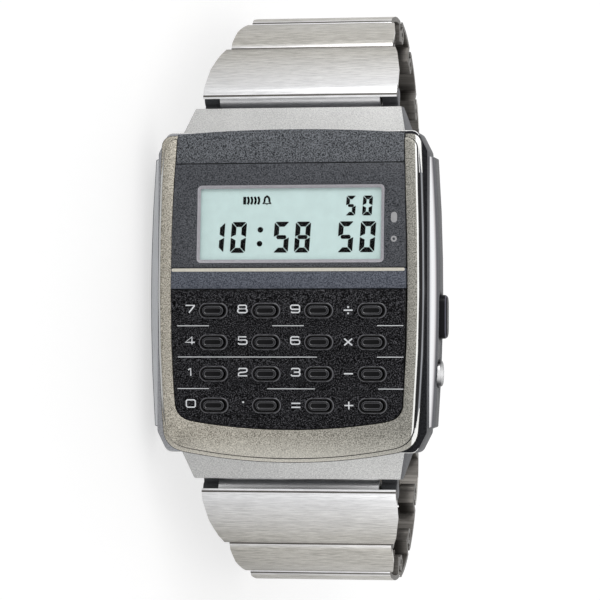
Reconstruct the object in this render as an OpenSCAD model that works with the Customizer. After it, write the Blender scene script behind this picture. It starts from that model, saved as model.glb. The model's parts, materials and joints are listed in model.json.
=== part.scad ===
// Calculator watch on a folded-link bracelet. Millimetres.
// The pieces are drawn in the watch's own axes: X to 3 o'clock, Y to 12 o'clock,
// Z out of the face, with Z = 0 on the outer face of the case back. The watch
// then lies on its 9 o'clock flank, resting on the rail and on the clasp's edge.

/* [Case] */
// Half width of the mid case
case_half_w = 16.2; // [15.8:0.1:16.6]
// Distance from the middle to the end of the mid case's flanks
case_half_h = 19; // [18.8:0.1:19.4]
// Height of the mid case's rear face
case_rear_z = 0.35; // [0.3:0.05:0.45]
// Height of the deck that carries the face panels
deck_z = 5.6; // [5.5:0.1:5.8]
// Thickness of the deck
deck_t = 0.75; // [0.6:0.05:0.8]
// Half width of the hollow for the movement
cavity_half_w = 12; // [11.9:0.05:12.1]
// Half height of the hollow for the movement
cavity_half_h = 15.7; // [15.6:0.1:15.8]
// Outer half width over the side rails
rail_half_w = 17.4; // [17.1:0.1:17.7]
// Half length of a side rail
rail_half_h = 16.5; // [15.5:0.1:17]
// How deep a rail's front face is rooted in the mid case's flank
rail_face_w = 1.1; // [0.9:0.1:1.3]
// Height of a rail's front face
rail_front_z = 4.1; // [3.9:0.1:4.5]
// How far a rail's ends draw in
rail_bow = 0.6; // [0.2:0.1:0.7]

/* [Shoulders] */
// Half width of a shoulder at the face
shoulder_root_half_w = 13.4; // [13:0.1:14]
// Half width of a shoulder at the bracelet
shoulder_tip_half_w = 12.5; // [12.4:0.1:13]
// Height of a shoulder at the face
shoulder_root_z = 4.5; // [4.2:0.1:4.8]
// Height of a shoulder at the bracelet
shoulder_tip_z = 1.7; // [1.4:0.1:1.9]
// Distance from the middle to a shoulder's end
shoulder_reach = 22.2; // [22:0.1:22.3]
// How far a shoulder's side faces lean out on their way down
shoulder_chamfer = 0.45; // [0.25:0.05:1]

/* [Face] */
// Height of the face at its middle
crown_z = 8.2; // [8.1:0.05:8.4]
// Radius of the face from 12 to 6 o'clock
crown_r = 125; // [115:5:160]
// Radius of the bezel from 9 to 3 o'clock
bezel_cross_r = 180; // [160:10:300]
// Half width of the bezel
bezel_half_w = 16.05; // [15.9:0.05:16.15]
// How much narrower the bezel is at its arms' ends
bezel_bow = 0.45; // [0.3:0.05:0.5]
// How much narrower the bezel is at its lower end
bezel_low_bow = 0.9; // [0.5:0.05:1.1]
// Distance from the middle to the tops of the bezel's arms
bezel_top = 18.6; // [18.2:0.1:18.7]
// Distance from the middle to the bezel's lower edge
bezel_bottom = 20.2; // [19.9:0.1:20.4]
// How much higher the bezel's lower corners are than its middle
bezel_rise = 1.9; // [1.6:0.1:2]
// Half width of the panels inside the bezel
panel_half_w = 14.1; // [14:0.05:14.2]
// How much narrower the panels are at their upper end
panel_bow = 0.45; // [0.4:0.05:0.6]
// How much narrower the panels are at their lower end
panel_low_bow = 0.8; // [0.5:0.05:1]
// Top of the dark strip at its middle
strip_top = 19.2; // [19.1:0.05:19.4]
// Joint between strip and glass
strip_seam = 15.2; // [15:0.1:15.4]
// Joint between glass and divider bar
glass_seam = 2.75; // [2.7:0.05:2.85]
// Joint between divider bar and keypad
bar_seam = 0.25; // [0.1:0.05:0.3]
// Distance from the middle to the keypad's lower edge
keypad_bottom = 16.3; // [16.2:0.1:16.6]
// Gap between neighbouring face panels
panel_gap = 0.1; // [0.06:0.01:0.14]
// Width of the display window
window_w = 22.4; // [21.6:0.1:22.8]
// Height of the display window
window_h = 9.2; // [8.8:0.1:9.4]
// Middle of the display window
window_y = 7.95; // [7.8:0.05:8.1]

/* [Keys] */
// Length of a key
key_len = 2.6; // [2.4:0.05:2.7]
// Width of a key
key_w = 1.2; // [1.1:0.05:1.3]
// Distance between key columns
key_pitch_x = 6.32; // [6.2:0.02:6.34]
// Distance between key rows
key_pitch_y = 3.72; // [3.6:0.02:3.74]
// First key column
key_first_x = -8.87; // [-8.95:0.01:-8.85]
// First key row
key_first_y = -2.3; // [-2.35:0.01:-2.25]
// Travel of a key
key_travel = 0.35; // [0.25:0.05:0.35]
// How far a key stands out of its collar
key_proud = 0.4; // [0.36:0.01:0.5]
// How far a collar stands out of the keypad
collar_proud = 0.25; // [0.15:0.05:0.3]
// Length of a collar
collar_len = 3.4; // [3.3:0.05:3.5]
// Width of a collar
collar_w = 1.85; // [1.8:0.05:1.95]
// Clearance round a key
key_clear = 0.06; // [0.04:0.01:0.08]

/* [Pushers] */
// Length of the oblong pusher
mode_len = 5.3; // [5:0.1:5.5]
// Width of the oblong pusher
mode_w = 2.2; // [2:0.1:2.3]
// Middle of the oblong pusher
mode_y = -2.9; // [-3.1:0.1:-2.7]
// How far the oblong pusher stands out of the mid case's flank
mode_proud = 2.4; // [2.1:0.05:2.6]
// Diameter of the round pusher
adjust_d = 3; // [2.8:0.1:3.1]
// Middle of the round pusher
adjust_y = -9.6; // [-9.8:0.1:-9.4]
// How far the round pusher stands out of the mid case's flank
adjust_proud = 1.4; // [1.2:0.05:1.7]
// Height of both pushers
pusher_z = 2.35; // [2.3:0.05:2.4]
// Travel of both pushers
pusher_travel = 0.5; // [0.3:0.05:0.5]
// Diameter of a pusher's stem
stem_d = 1.1; // [1:0.05:1.2]
// Clearance round a pusher's stem
stem_clear = 0.05; // [0.03:0.01:0.08]
// Clearance round a pusher's head
head_clear = 0.2; // [0.15:0.05:0.25]

/* [Movement] */
// Thickness of the case back
back_t = 0.8; // [0.7:0.05:0.85]
// Half width of the case back
back_half_w = 14.9; // [14.8:0.05:15]
// Half height of the case back
back_half_h = 17.2; // [17.1:0.05:17.4]
// Diameter of the cell
cell_d = 20; // [19:0.5:20]
// Thickness of the cell
cell_t = 1.6; // [1.4:0.05:1.6]
// Middle of the cell
cell_y = 5.2; // [5:0.1:5.4]
// Thickness of the circuit board
board_t = 0.6; // [0.5:0.05:0.6]
// Diameter of the buzzer disc
buzzer_d = 8.5; // [8:0.5:9]
// Middle of the buzzer disc
buzzer_y = -10.4; // [-10.6:0.1:-10.2]
// Thickness of the liquid crystal panel
lcd_t = 1.1; // [1:0.05:1.1]

/* [Bracelet] */
// Length of the first link from pin to pin
first_pitch = 10; // [9.5:0.1:10.5]
// Length of the other links from pin to pin
link_pitch = 7.5; // [7.3:0.1:7.8]
// Width of the bracelet at the case
band_root_w = 23.6; // [23.3:0.1:24]
// Width of the bracelet after the first link
band_mid_w = 20; // [19.7:0.1:20.3]
// Width of the bracelet after the second link
band_end_w = 17.6; // [17.5:0.1:17.8]
// Width of the bracelet at the clasp
band_tip_w = 17.2; // [17.1:0.1:17.3]
// Thickness of a link's outer plate
plate_t = 0.6; // [0.5:0.05:0.65]
// Crown of a link's outer plate
plate_crown = 0.3; // [0.1:0.05:0.4]
// Radius of the knuckles round a pin
knuckle_r = 1.05; // [1:0.05:1.1]
// Radius of a link's pin
pin_r = 0.45; // [0.4:0.05:0.5]
// Radius of the spring bars at the case
bar_r = 0.6; // [0.55:0.05:0.65]
// Running clearance round a pin
pin_clear = 0.05; // [0.03:0.01:0.08]
// Gap between neighbouring knuckles
knuckle_gap = 0.15; // [0.1:0.05:0.2]
// Width of a link's side knuckle
side_knuckle_w = 1.9; // [1.7:0.1:2]
// Distance from the middle to the spring bar at the case
bar_y = 23.6; // [23.5:0.1:23.8]
// Height of the spring bar at the case
bar_z = -0.9; // [-1:0.1:-0.8]
// How far a lug link turns outward
lug_swing = 28; // [20:1:30]
// How far past straight the other links turn outward
back_bend = 4; // [0:1:6]

/* [Clasp] */
// Width of the clasp's cover
clasp_w = 18.7; // [18.6:0.1:19.2]
// Thickness of the cover's wall
clasp_t = 0.55; // [0.5:0.05:0.6]
// Thickness of a blade
blade_t = 0.5; // [0.4:0.05:0.55]
// Width of the blades
blade_w = 12.7; // [12:0.1:12.8]
// Place of the pin between the two blades
fold_y = 11; // [10.5:0.1:11.2]
// How far the pin between blade and cover lies behind the middle
cover_pin_back = 12.4; // [12:0.1:12.6]
// Radius of the clasp's knuckles
clasp_knuckle_r = 0.85; // [0.8:0.05:0.9]
// How far the clasp unfolds
clasp_open = 150; // [120:5:150]

/* [Hidden] */
$fn = 48;

overrun = 1;
seat_gap = 0.05;
fit_gap = 0.1;
key_rows = 4;
key_columns = 4;
link_count = 6;

// Directions of the links at rest, in degrees from 12 o'clock towards the wrist
link_angles = [52, 64, 88, 114, 138, 160];
// Widths of the links at their case end and at their clasp end
link_start_w = [band_root_w, band_mid_w, band_end_w, band_end_w, band_end_w, band_end_w];
link_end_w = [band_mid_w, band_end_w, band_end_w, band_end_w, band_end_w, band_tip_w];

function link_length(i) = i == 0 ? first_pitch : link_pitch;
function link_dir(i) = [cos(link_angles[i]), -sin(link_angles[i])];
// Pin i of a half, as [distance along 12 o'clock, height]
function pin_at(i) = i == 0 ? [bar_y, bar_z] : pin_at(i - 1) + link_length(i - 1) * link_dir(i - 1);

clasp_pin = pin_at(link_count);
plate_top = knuckle_r + 2 * pin_clear + fit_gap / 2 + plate_t;
// How far a plate rolls back over its pin, at its sides and round its middle barrel
roll_angle = 57;
wrap_angle = 110;
cover_outer_z = clasp_pin.y - knuckle_r - 3 * fit_gap - clasp_t - 2 * seat_gap - clasp_knuckle_r / 2;
cover_inner_z = cover_outer_z + clasp_t;
cover_pin = [-cover_pin_back, cover_inner_z + clasp_knuckle_r + seat_gap];
fold_pin = [fold_y, cover_pin.y + 2 * blade_t + fit_gap];

// The watch lies on the rear edge of its rail and on the outer edge of the clasp
rest_tilt = atan2(rail_half_w - clasp_w / 2, case_rear_z - cover_outer_z);
rest_height = rail_half_w * cos(rest_tilt) - case_rear_z * sin(rest_tilt);
// Extremes along the depth of the lying watch: the clasp behind, the first key in front
rear_extreme = -cover_outer_z * cos(rest_tilt) + clasp_w / 2 * sin(rest_tilt);
first_key_tip_z = face_z(key_first_y) + collar_proud + key_proud;
front_extreme = -first_key_tip_z * cos(rest_tilt) + (key_first_x - key_len / 2) * sin(rest_tilt);
rest_depth = (rear_extreme + front_extreme) / 2;

// Turns the watch's axes into the part's: 3 o'clock up, face to the front
module place() {
    translate([0, -rest_depth, rest_height])
        rotate([-rest_tilt, 0, 0]) rotate([0, -90, 0]) rotate([90, 0, 0]) children();
}

// The same turn for a point, and for a direction, of the watch
function turned(p) = [
    -p.y,
    -p.z * cos(rest_tilt) + p.x * sin(rest_tilt),
    p.z * sin(rest_tilt) + p.x * cos(rest_tilt)
];
function placed(p) = turned(p) + [0, -rest_depth, rest_height];

// Points of an arc round a middle
function arc(middle, r, from, to, steps) =
    [for (i = [0 : steps]) let (a = from + (to - from) * i / steps) middle + r * [cos(a), sin(a)]];

function unit(v) = v / norm(v);
// A polygon whose corners are given as [x, y, radius]
function corner_arc(p, a, b, r) =
    let (u = unit(a - p), w = unit(b - p), half = acos(u * w) / 2)
    let (middle = p + unit(u + w) * r / sin(half))
    let (s = p + u * r / tan(half) - middle, e = p + w * r / tan(half) - middle)
    let (from = atan2(s.y, s.x), raw = atan2(e.y, e.x) - from)
    let (sweep = raw > 180 ? raw - 360 : raw < -180 ? raw + 360 : raw)
    arc(middle, r, from, from + sweep, 6);
function flat_point(p) = [p.x, p.y];
function rounded(pts) = [
    for (i = [0 : len(pts) - 1])
        each pts[i].z == 0
            ? [flat_point(pts[i])]
            : corner_arc(
                flat_point(pts[i]),
                flat_point(pts[(i + len(pts) - 1) % len(pts)]),
                flat_point(pts[(i + 1) % len(pts)]),
                pts[i].z
            )
];

// Half width of a gently bowed side at a given distance from the middle
function bowed(half, bow, reach, y) = half - bow * (y / reach) * (y / reach);
bow_shares = [1, 0.6, 0.25, 0, -0.25, -0.6, -1];
arc_shares = [-0.8, -0.5, 0, 0.5, 0.8];
low_shares = [0.75, 0.4];
high_shares = [0, 0.4, 0.75];

// Outline of the mid case without its shoulders
module case_outline() {
    corner = case_half_w / 8;
    polygon(rounded([
        for (side = [[1, 1], [-1, 1], [-1, -1], [1, -1]])
            each let (
                flank = [side.x * case_half_w, side.y * (case_half_h - corner * 1.2), case_half_w / 16],
                end = [side.x * (case_half_w - corner * 0.6), side.y * case_half_h, case_half_w / 16]
            )
            side.x * side.y > 0 ? [flank, end] : [end, flank]
    ]));
}

// Outline of one rail, its outer side bowed
module rail_outline() {
    inner = case_half_w - rail_face_w;
    side_half_h = rail_half_h - (rail_half_w - case_half_w) / 2;
    polygon(concat(
        [for (y = bow_shares * side_half_h) [bowed(rail_half_w, rail_bow, rail_half_h, y), y]],
        [[inner, -rail_half_h], [inner, rail_half_h]]
    ));
}

// Everything behind a plane through a point, for a normal that points out of it
module behind(point, normal) {
    span = 4 * case_half_h;
    translate(point) rotate([0, -asin(normal.z / norm(normal)), atan2(normal.y, normal.x)])
        translate([-span, -span / 2, -span / 2]) cube(span);
}

// One sloped shoulder: its side view, between two side faces that draw in and lean out
module shoulder() {
    root = [shoulder_root_half_w, case_half_h, shoulder_root_z];
    tip = [shoulder_tip_half_w, shoulder_reach, shoulder_tip_z];
    down = [shoulder_chamfer, 0, case_rear_z - shoulder_root_z];
    start_y = case_half_h - deck_t;
    intersection() {
        along_x(4 * case_half_w) polygon([
            [start_y, case_rear_z], [start_y, shoulder_root_z], [case_half_h, shoulder_root_z],
            [shoulder_reach, shoulder_tip_z], [shoulder_reach, case_rear_z]
        ]);
        behind(root, cross(down, tip - root));
        mirror([1, 0, 0]) behind(root, cross(down, tip - root));
    }
}

// Width that the middle barrel of a link takes, where the link is w wide
function barrel_w(w) = w - 2 * side_knuckle_w - 2 * knuckle_gap;

module along_x(w) {
    rotate([90, 0, 90]) translate([0, 0, -w / 2]) linear_extrude(w) children();
}

// One lug ear with the hole for the spring bar
module lug_ear() {
    ear_w = side_knuckle_w;
    inner = barrel_w(band_root_w) / 2 + knuckle_gap;
    translate([inner + ear_w / 2, 0, 0]) along_x(ear_w) {
        translate([bar_y, bar_z]) circle(r = knuckle_r);
        polygon([
            [shoulder_reach - 3 * plate_t, case_rear_z + plate_t],
            [shoulder_reach - 3 * plate_t, bar_z - knuckle_r + plate_t],
            [bar_y - plate_t, bar_z - knuckle_r * 0.8],
            [bar_y, bar_z + knuckle_r * 0.3],
            [shoulder_reach - plate_t / 2, bar_z + knuckle_r * 0.5],
            [shoulder_reach - plate_t / 2, case_rear_z + plate_t]
        ]);
    }
}

// A rounded rectangle by its half sizes
module plate_outline(half_w, half_h, r) {
    polygon(rounded([for (s = [[1, 1], [-1, 1], [-1, -1], [1, -1]]) [s.x * half_w, s.y * half_h, r]]));
}

module stadium(len, w) {
    if (len > w) {
        square([len - w, w], center = true);
        for (side = [-1, 1]) translate([side * (len - w) / 2, 0]) circle(d = w);
    } else circle(d = w);
}

// What the face panels share
panel_reach = strip_top - strip_top / 12;
lcd_side_margin = 0.5;
lcd_end_margin = 1;
lcd_half_w = window_w / 2 + lcd_side_margin;
lcd_half_h = window_h / 2 + lcd_end_margin;
lcd_corner = 0.5;
lcd_top_z = deck_z - 2 * fit_gap;
deck_bottom_z = deck_z - deck_t;
flange_t = 0.45;
flange_grow = 0.4;
flange_top_z = deck_z - seat_gap;
key_field_y = key_first_y - (key_rows - 1) * key_pitch_y / 2;
key_field_half_h = (key_rows - 1) * key_pitch_y / 2 + key_w / 2 + flange_grow;

// Places along X inside the pusher holes
pocket_floor_x = case_half_w - pusher_travel - 3 * fit_gap;
head_rear_x = pocket_floor_x + pusher_travel + fit_gap;
mode_tip_x = case_half_w + mode_proud;
adjust_tip_x = case_half_w + adjust_proud;
seal_seat_x = cavity_half_w + 1.2 * stem_d;
spring_bore_d = stem_d + 1.5;
clip_t = 0.25;
clip_x = cavity_half_w - fit_gap - clip_t;
spring_wire = 0.2;
spring_turns = 2.2;
seal_t = 0.6;

module pusher_hole(y, head_len, head_w) {
    translate([0, y, pusher_z]) rotate([90, 0, 90]) {
        translate([0, 0, cavity_half_w - overrun])
            cylinder(d = stem_d + 2 * stem_clear, h = case_half_w);
        translate([0, 0, seal_seat_x]) cylinder(d = spring_bore_d, h = case_half_w);
        translate([0, 0, pocket_floor_x]) linear_extrude(case_half_w)
            stadium(head_len + 2 * head_clear, head_w + 2 * head_clear);
    }
}

// Places of the case back's screws
screw_d = 1.2;
screw_head_d = 2;
screw_x = back_half_w - screw_head_d / 2 - 3 * fit_gap;
screw_y = back_half_h - 1.25 * screw_head_d;
screw_len = 2.6;
module at_screws() {
    for (sx = [-1, 1], sy = [-1, 1]) translate([sx * screw_x, sy * screw_y, 0]) children();
}
gasket_w = 0.5;
gasket_inset = 0.15;
gasket_half_w = cavity_half_w + gasket_inset;
gasket_half_h = cavity_half_h + gasket_inset;

module mid_case() {
    color([0.6, 0.6, 0.61]) difference() {
        union() {
            translate([0, 0, case_rear_z]) linear_extrude(deck_z - case_rear_z) case_outline();
            for (side = [0, 1]) mirror([side, 0, 0]) translate([0, 0, case_rear_z])
                linear_extrude(rail_front_z - case_rear_z) rail_outline();
            for (side = [0, 1]) mirror([0, side, 0]) {
                shoulder();
                for (ear = [0, 1]) mirror([ear, 0, 0]) lug_ear();
            }
        }
        // Recess for the case back
        translate([0, 0, case_rear_z - overrun]) linear_extrude(back_t - case_rear_z + overrun)
            plate_outline(back_half_w + seat_gap, back_half_h + seat_gap, screw_head_d);
        // Groove for the gasket
        translate([0, 0, back_t - overrun]) linear_extrude(gasket_w + overrun)
            plate_outline(gasket_half_w + gasket_w, gasket_half_h + gasket_w, screw_d);
        // Hollow for the movement, and its two windows through the deck
        linear_extrude(deck_bottom_z) plate_outline(cavity_half_w, cavity_half_h, screw_d);
        translate([0, window_y, 0]) linear_extrude(deck_z + overrun)
            plate_outline(lcd_half_w + fit_gap, lcd_half_h + fit_gap, lcd_corner);
        translate([0, key_field_y, 0]) linear_extrude(deck_z + overrun)
            plate_outline(cavity_half_w, key_field_half_h + fit_gap, key_w / 2);
        at_screws() cylinder(d = screw_d + fit_gap, h = back_t + screw_len);
        pusher_hole(mode_y, mode_len, mode_w);
        pusher_hole(adjust_y, adjust_d, adjust_d);
        for (side = [-1, 1]) translate([0, side * bar_y, bar_z]) rotate([0, 90, 0])
            cylinder(r = bar_r + seat_gap, h = band_root_w - 2 * plate_t, center = true);
    }
}

// The domed space under the face
module under_crown(z) {
    span = 4 * case_half_h;
    intersection() {
        translate([0, 0, z - crown_r]) rotate([0, 90, 0])
            cylinder(r = crown_r, h = span, center = true, $fn = 360);
        translate([-span / 2, -span / 2, deck_z]) cube([span, span, z]);
    }
}

bezel_corner = 2.6;
panel_corner = 2;
panel_rise = panel_half_w / 10;

module bezel_outline(inset) {
    half_w = bezel_half_w - inset;
    low = bezel_bottom - bezel_rise - inset;
    function side(y) = bowed(half_w, y < 0 ? bezel_low_bow : bezel_bow, bezel_top, y);
    sides = concat(-low_shares * low, high_shares * bezel_top);
    polygon(rounded(concat(
        [[side(-low), -low, bezel_corner]],
        [for (y = sides) [side(y), y, 0]],
        [[half_w - bezel_bow, bezel_top - inset, bezel_corner / 2]],
        [[-half_w + bezel_bow, bezel_top - inset, bezel_corner / 2]],
        [for (i = [len(sides) - 1 : -1 : 0]) [-side(sides[i]), sides[i], 0]],
        [[-side(-low), -low, bezel_corner]],
        [for (s = arc_shares) [s * half_w, -low - bezel_rise * (1 - s * s), 0]]
    )));
}

// Outline of the opening in the bezel, shrunk all round by a gap
module panel_outline(gap) {
    half_w = panel_half_w - gap;
    low = keypad_bottom - panel_rise - gap;
    panel_end = strip_top + overrun;
    function side(y) = bowed(half_w, y < 0 ? panel_low_bow : panel_bow, panel_reach, y);
    sides = concat(-low_shares * low, high_shares * panel_reach, [panel_reach]);
    polygon(rounded(concat(
        [[side(-low), -low, panel_corner]],
        [for (y = sides) [side(y), y, 0]],
        [[half_w - panel_bow, panel_end, 0], [-half_w + panel_bow, panel_end, 0]],
        [for (i = [len(sides) - 1 : -1 : 0]) [-side(sides[i]), sides[i], 0]],
        [[-side(-low), -low, panel_corner]],
        [for (s = arc_shares) [s * half_w, -low - panel_rise * (1 - s * s), 0]]
    )));
}

edge_chamfer = 0.5;
edge_depth = 0.8;

module bezel_frame() {
    color([0.65, 0.63, 0.58]) difference() {
        intersection() {
            union() {
                translate([0, 0, deck_z]) linear_extrude(edge_depth) bezel_outline(0);
                translate([0, 0, deck_z]) linear_extrude(crown_z) bezel_outline(edge_chamfer);
            }
            under_crown(crown_z - seat_gap);
            translate([0, 0, crown_z - bezel_cross_r]) rotate([90, 0, 0])
                cylinder(r = bezel_cross_r, h = 4 * case_half_h, center = true, $fn = 180);
        }
        linear_extrude(2 * crown_z) panel_outline(0);
        translate([-panel_half_w + panel_bow, bezel_top - 2 * edge_depth, 0])
            cube([2 * (panel_half_w - panel_bow), 4 * edge_depth, 2 * crown_z]);
    }
}

// A band of the face panels from one Y to another
module face_band(from, to) {
    intersection() {
        under_crown(crown_z);
        linear_extrude(2 * crown_z) intersection() {
            panel_outline(seat_gap);
            translate([-2 * case_half_w, from]) square([4 * case_half_w, to - from]);
        }
    }
}

module top_strip() {
    arc_r = 180;
    color([0.33, 0.34, 0.36]) intersection() {
        face_band(strip_seam, strip_top + 2 * overrun);
        translate([0, strip_top - arc_r, 0]) cylinder(r = arc_r, h = 2 * crown_z, $fn = 360);
    }
}

module display_glass() {
    color([0.29, 0.3, 0.32]) face_band(glass_seam + panel_gap / 2, strip_seam - panel_gap);
}

module divider_bar() {
    color([0.3, 0.33, 0.38]) face_band(bar_seam + panel_gap / 2, glass_seam - panel_gap / 2);
}

function key_x(column) = key_first_x + column * key_pitch_x;
function key_y(row) = key_first_y - row * key_pitch_y;
// Height of the face under a key
function face_z(y) = crown_z - crown_r + sqrt(crown_r * crown_r - y * y);

module at_keys() {
    for (row = [0 : key_rows - 1], column = [0 : key_columns - 1])
        translate([key_x(column), key_y(row), 0]) children();
}

module keypad_plate() {
    color([0.11, 0.11, 0.12]) difference() {
        union() {
            face_band(-2 * case_half_h, bar_seam - panel_gap / 2);
            for (row = [0 : key_rows - 1], column = [0 : key_columns - 1]) {
                collar_z = face_z(key_y(row)) + collar_proud;
                translate([key_x(column), key_y(row), deck_z])
                    linear_extrude(collar_z - deck_z) stadium(collar_len, collar_w);
            }
        }
        at_keys() linear_extrude(2 * crown_z) stadium(key_len + 2 * key_clear, key_w + 2 * key_clear);
    }
}

module key(row, column) {
    tip_z = face_z(key_y(row)) + collar_proud + key_proud;
    color([0.13, 0.13, 0.14]) translate([key_x(column), key_y(row), 0]) {
        translate([0, 0, flange_top_z - flange_t / 2]) linear_extrude(tip_z - flange_top_z + flange_t / 2)
            stadium(key_len, key_w);
        translate([0, 0, flange_top_z - flange_t]) linear_extrude(flange_t)
            stadium(key_len + flange_grow, key_w + flange_grow);
    }
}

// Levels of the movement, from the case back to the face
clip_strap_t = 0.15;
cell_rear_z = back_t + clip_strap_t + 2 * seat_gap;
board_rear_z = cell_rear_z + cell_t + seat_gap;
board_front_z = board_rear_z + board_t;
lcd_rear_z = lcd_top_z - lcd_t;
frame_half_w = cavity_half_w - stem_d;
frame_half_h = cavity_half_h - 2 * fit_gap;
frame_wall = 0.9;
rubber_t = 0.4;
buzzer_spring_r = 0.8;
buzzer_spring_turns = 2.5;
buzzer_t = 0.8 * (cell_rear_z - back_t);
rubber_top_z = flange_top_z - flange_t - key_travel - seat_gap;

module lcd_panel() {
    color([0.78, 0.86, 0.84]) translate([0, window_y, lcd_rear_z]) linear_extrude(lcd_t)
        plate_outline(lcd_half_w, lcd_half_h, lcd_corner);
}

module lcd_connectors() {
    strip_w = 0.9;
    half_len = frame_half_w - frame_wall - 2 * fit_gap;
    color([0.85, 0.55, 0.5]) for (side = [-1, 1])
        translate([-half_len, window_y + side * (lcd_half_h - strip_w) - strip_w / 2, board_front_z])
            cube([2 * half_len, strip_w, lcd_rear_z - board_front_z]);
}

module module_frame() {
    color([0.2, 0.2, 0.2]) difference() {
        translate([0, 0, cell_rear_z]) linear_extrude(lcd_rear_z - cell_rear_z)
            plate_outline(frame_half_w, frame_half_h, screw_d / 2);
        translate([0, 0, board_rear_z]) linear_extrude(crown_z)
            plate_outline(frame_half_w - frame_wall, frame_half_h - frame_wall, screw_d / 4);
        translate([0, cell_y, 0]) cylinder(d = cell_d + 2 * fit_gap, h = crown_z, $fn = 96);
        translate([0, buzzer_y, 0]) cylinder(r = 2 * buzzer_spring_r, h = crown_z);
        // The rubber sheet lies across the frame here
        translate([0, key_field_y, board_front_z]) linear_extrude(crown_z)
            plate_outline(2 * frame_half_w, key_field_half_h + fit_gap, screw_d / 4);
    }
}

module circuit_board() {
    inset = frame_wall + fit_gap;
    color([0.1, 0.4, 0.25]) translate([0, 0, board_rear_z]) linear_extrude(board_t)
        plate_outline(frame_half_w - inset, frame_half_h - inset, screw_d / 4);
}

module key_rubber() {
    dome_d = key_w;
    color([0.75, 0.75, 0.72]) {
        translate([0, key_field_y, board_front_z]) linear_extrude(rubber_top_z - rubber_t - board_front_z)
            plate_outline(frame_half_w - fit_gap, key_field_half_h, screw_d / 4);
        at_keys() translate([0, 0, board_front_z]) cylinder(d = dome_d, h = rubber_top_z - board_front_z);
    }
}

module battery() {
    rim = 0.6;
    color([0.8, 0.8, 0.78]) translate([0, cell_y, cell_rear_z]) {
        cylinder(d = cell_d, h = cell_t - rim / 3, $fn = 96);
        cylinder(d = cell_d - 4 * rim, h = cell_t, $fn = 96);
    }
}

module battery_clip() {
    strap_w = 3;
    half = frame_half_w - 2 * fit_gap;
    strap_z = cell_rear_z - clip_strap_t - seat_gap;
    color([0.7, 0.68, 0.6]) translate([-half, cell_y - strap_w / 2, strap_z])
        cube([2 * half, strap_w, clip_strap_t]);
}

module buzzer_disc() {
    color([0.8, 0.7, 0.4]) translate([0, buzzer_y, back_t]) cylinder(d = buzzer_d, h = buzzer_t);
}

// A coil as one tube of six-sided rings; the steps follow the turns
module coil(r, wire, turns, height) {
    sides = 6;
    rings = ceil(turns * 12);
    ring_at = function(i) let (a = 360 * turns * i / rings) [r * cos(a), r * sin(a), height * i / rings];
    points = [
        for (i = [0 : rings], s = [0 : sides - 1])
            let (a = 360 * turns * i / rings, b = 360 * s / sides)
            ring_at(i) + wire / 2 * [cos(b) * cos(a), cos(b) * sin(a), sin(b)]
    ];
    walls = [
        for (i = [0 : rings - 1], s = [0 : sides - 1])
            let (p = i * sides + s, q = i * sides + (s + 1) % sides)
            each [[p, q, q + sides], [p, q + sides, p + sides]]
    ];
    last = rings * sides;
    start = [for (s = [1 : sides - 2]) [0, s + 1, s]];
    end = [for (s = [1 : sides - 2]) [last, last + s, last + s + 1]];
    polyhedron(points, concat(walls, start, end));
}

module buzzer_spring() {
    wire = 0.15;
    floor_z = back_t + buzzer_t;
    color([0.8, 0.8, 0.8]) translate([0, buzzer_y, floor_z + wire / 2 + seat_gap])
        coil(buzzer_spring_r, wire, buzzer_spring_turns, board_rear_z - floor_z - wire - 2 * seat_gap);
}

module case_back() {
    color([0.72, 0.72, 0.72]) difference() {
        linear_extrude(back_t) plate_outline(back_half_w, back_half_h, screw_head_d);
        at_screws() {
            translate([0, 0, -overrun]) cylinder(d = screw_d + fit_gap, h = 2 * overrun + back_t);
            translate([0, 0, -overrun]) cylinder(d = screw_head_d + fit_gap, h = overrun + back_t / 2);
        }
    }
}

module case_back_gasket() {
    outer = gasket_w - seat_gap;
    color([0.1, 0.1, 0.1]) translate([0, 0, back_t]) linear_extrude(outer) difference() {
        plate_outline(gasket_half_w + outer, gasket_half_h + outer, screw_d);
        plate_outline(gasket_half_w, gasket_half_h, screw_d);
    }
}

module case_back_screws() {
    slot_w = 0.3;
    head_t = back_t / 2 - seat_gap;
    color([0.8, 0.8, 0.8]) at_screws() difference() {
        union() {
            translate([0, 0, back_t / 2 - head_t]) cylinder(d = screw_head_d, h = head_t);
            translate([0, 0, back_t / 2 - seat_gap]) cylinder(d = screw_d, h = screw_len - back_t / 2);
        }
        translate([-slot_w / 2, -screw_head_d, -overrun])
            cube([slot_w, 2 * screw_head_d, overrun + back_t / 2 - head_t / 2]);
        translate([-screw_head_d, -slot_w / 2, -overrun])
            cube([2 * screw_head_d, slot_w, overrun + back_t / 2 - head_t / 2]);
    }
}

module at_pushers() {
    for (y = [mode_y, adjust_y]) translate([0, y, pusher_z]) rotate([90, 0, 90]) children();
}

module button_seals() {
    ring_d = seal_t;
    color([0.1, 0.1, 0.1]) at_pushers() translate([0, 0, seal_seat_x + seal_t / 2])
        rotate_extrude() translate([(stem_d + ring_d) / 2 + stem_clear, 0]) circle(d = ring_d, $fn = 24);
}

module button_springs() {
    base = seal_seat_x + seal_t + spring_wire / 2 + seat_gap;
    length = pocket_floor_x - base - spring_wire / 2;
    color([0.8, 0.8, 0.8]) at_pushers() translate([0, 0, base])
        coil((stem_d + spring_bore_d) / 4, spring_wire, spring_turns, length);
}

// The stem that both pushers share, with the groove for its clip
module stem() {
    groove_clear = 0.05;
    start_x = clip_x - fit_gap;
    difference() {
        translate([0, 0, start_x]) cylinder(d = stem_d, h = head_rear_x - start_x + stem_d / 4);
        translate([0, 0, clip_x - groove_clear / 2]) difference() {
            cylinder(d = 2 * stem_d, h = clip_t + groove_clear);
            translate([0, 0, -overrun]) cylinder(d = 0.6 * stem_d, h = 3 * overrun);
        }
    }
}

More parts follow.
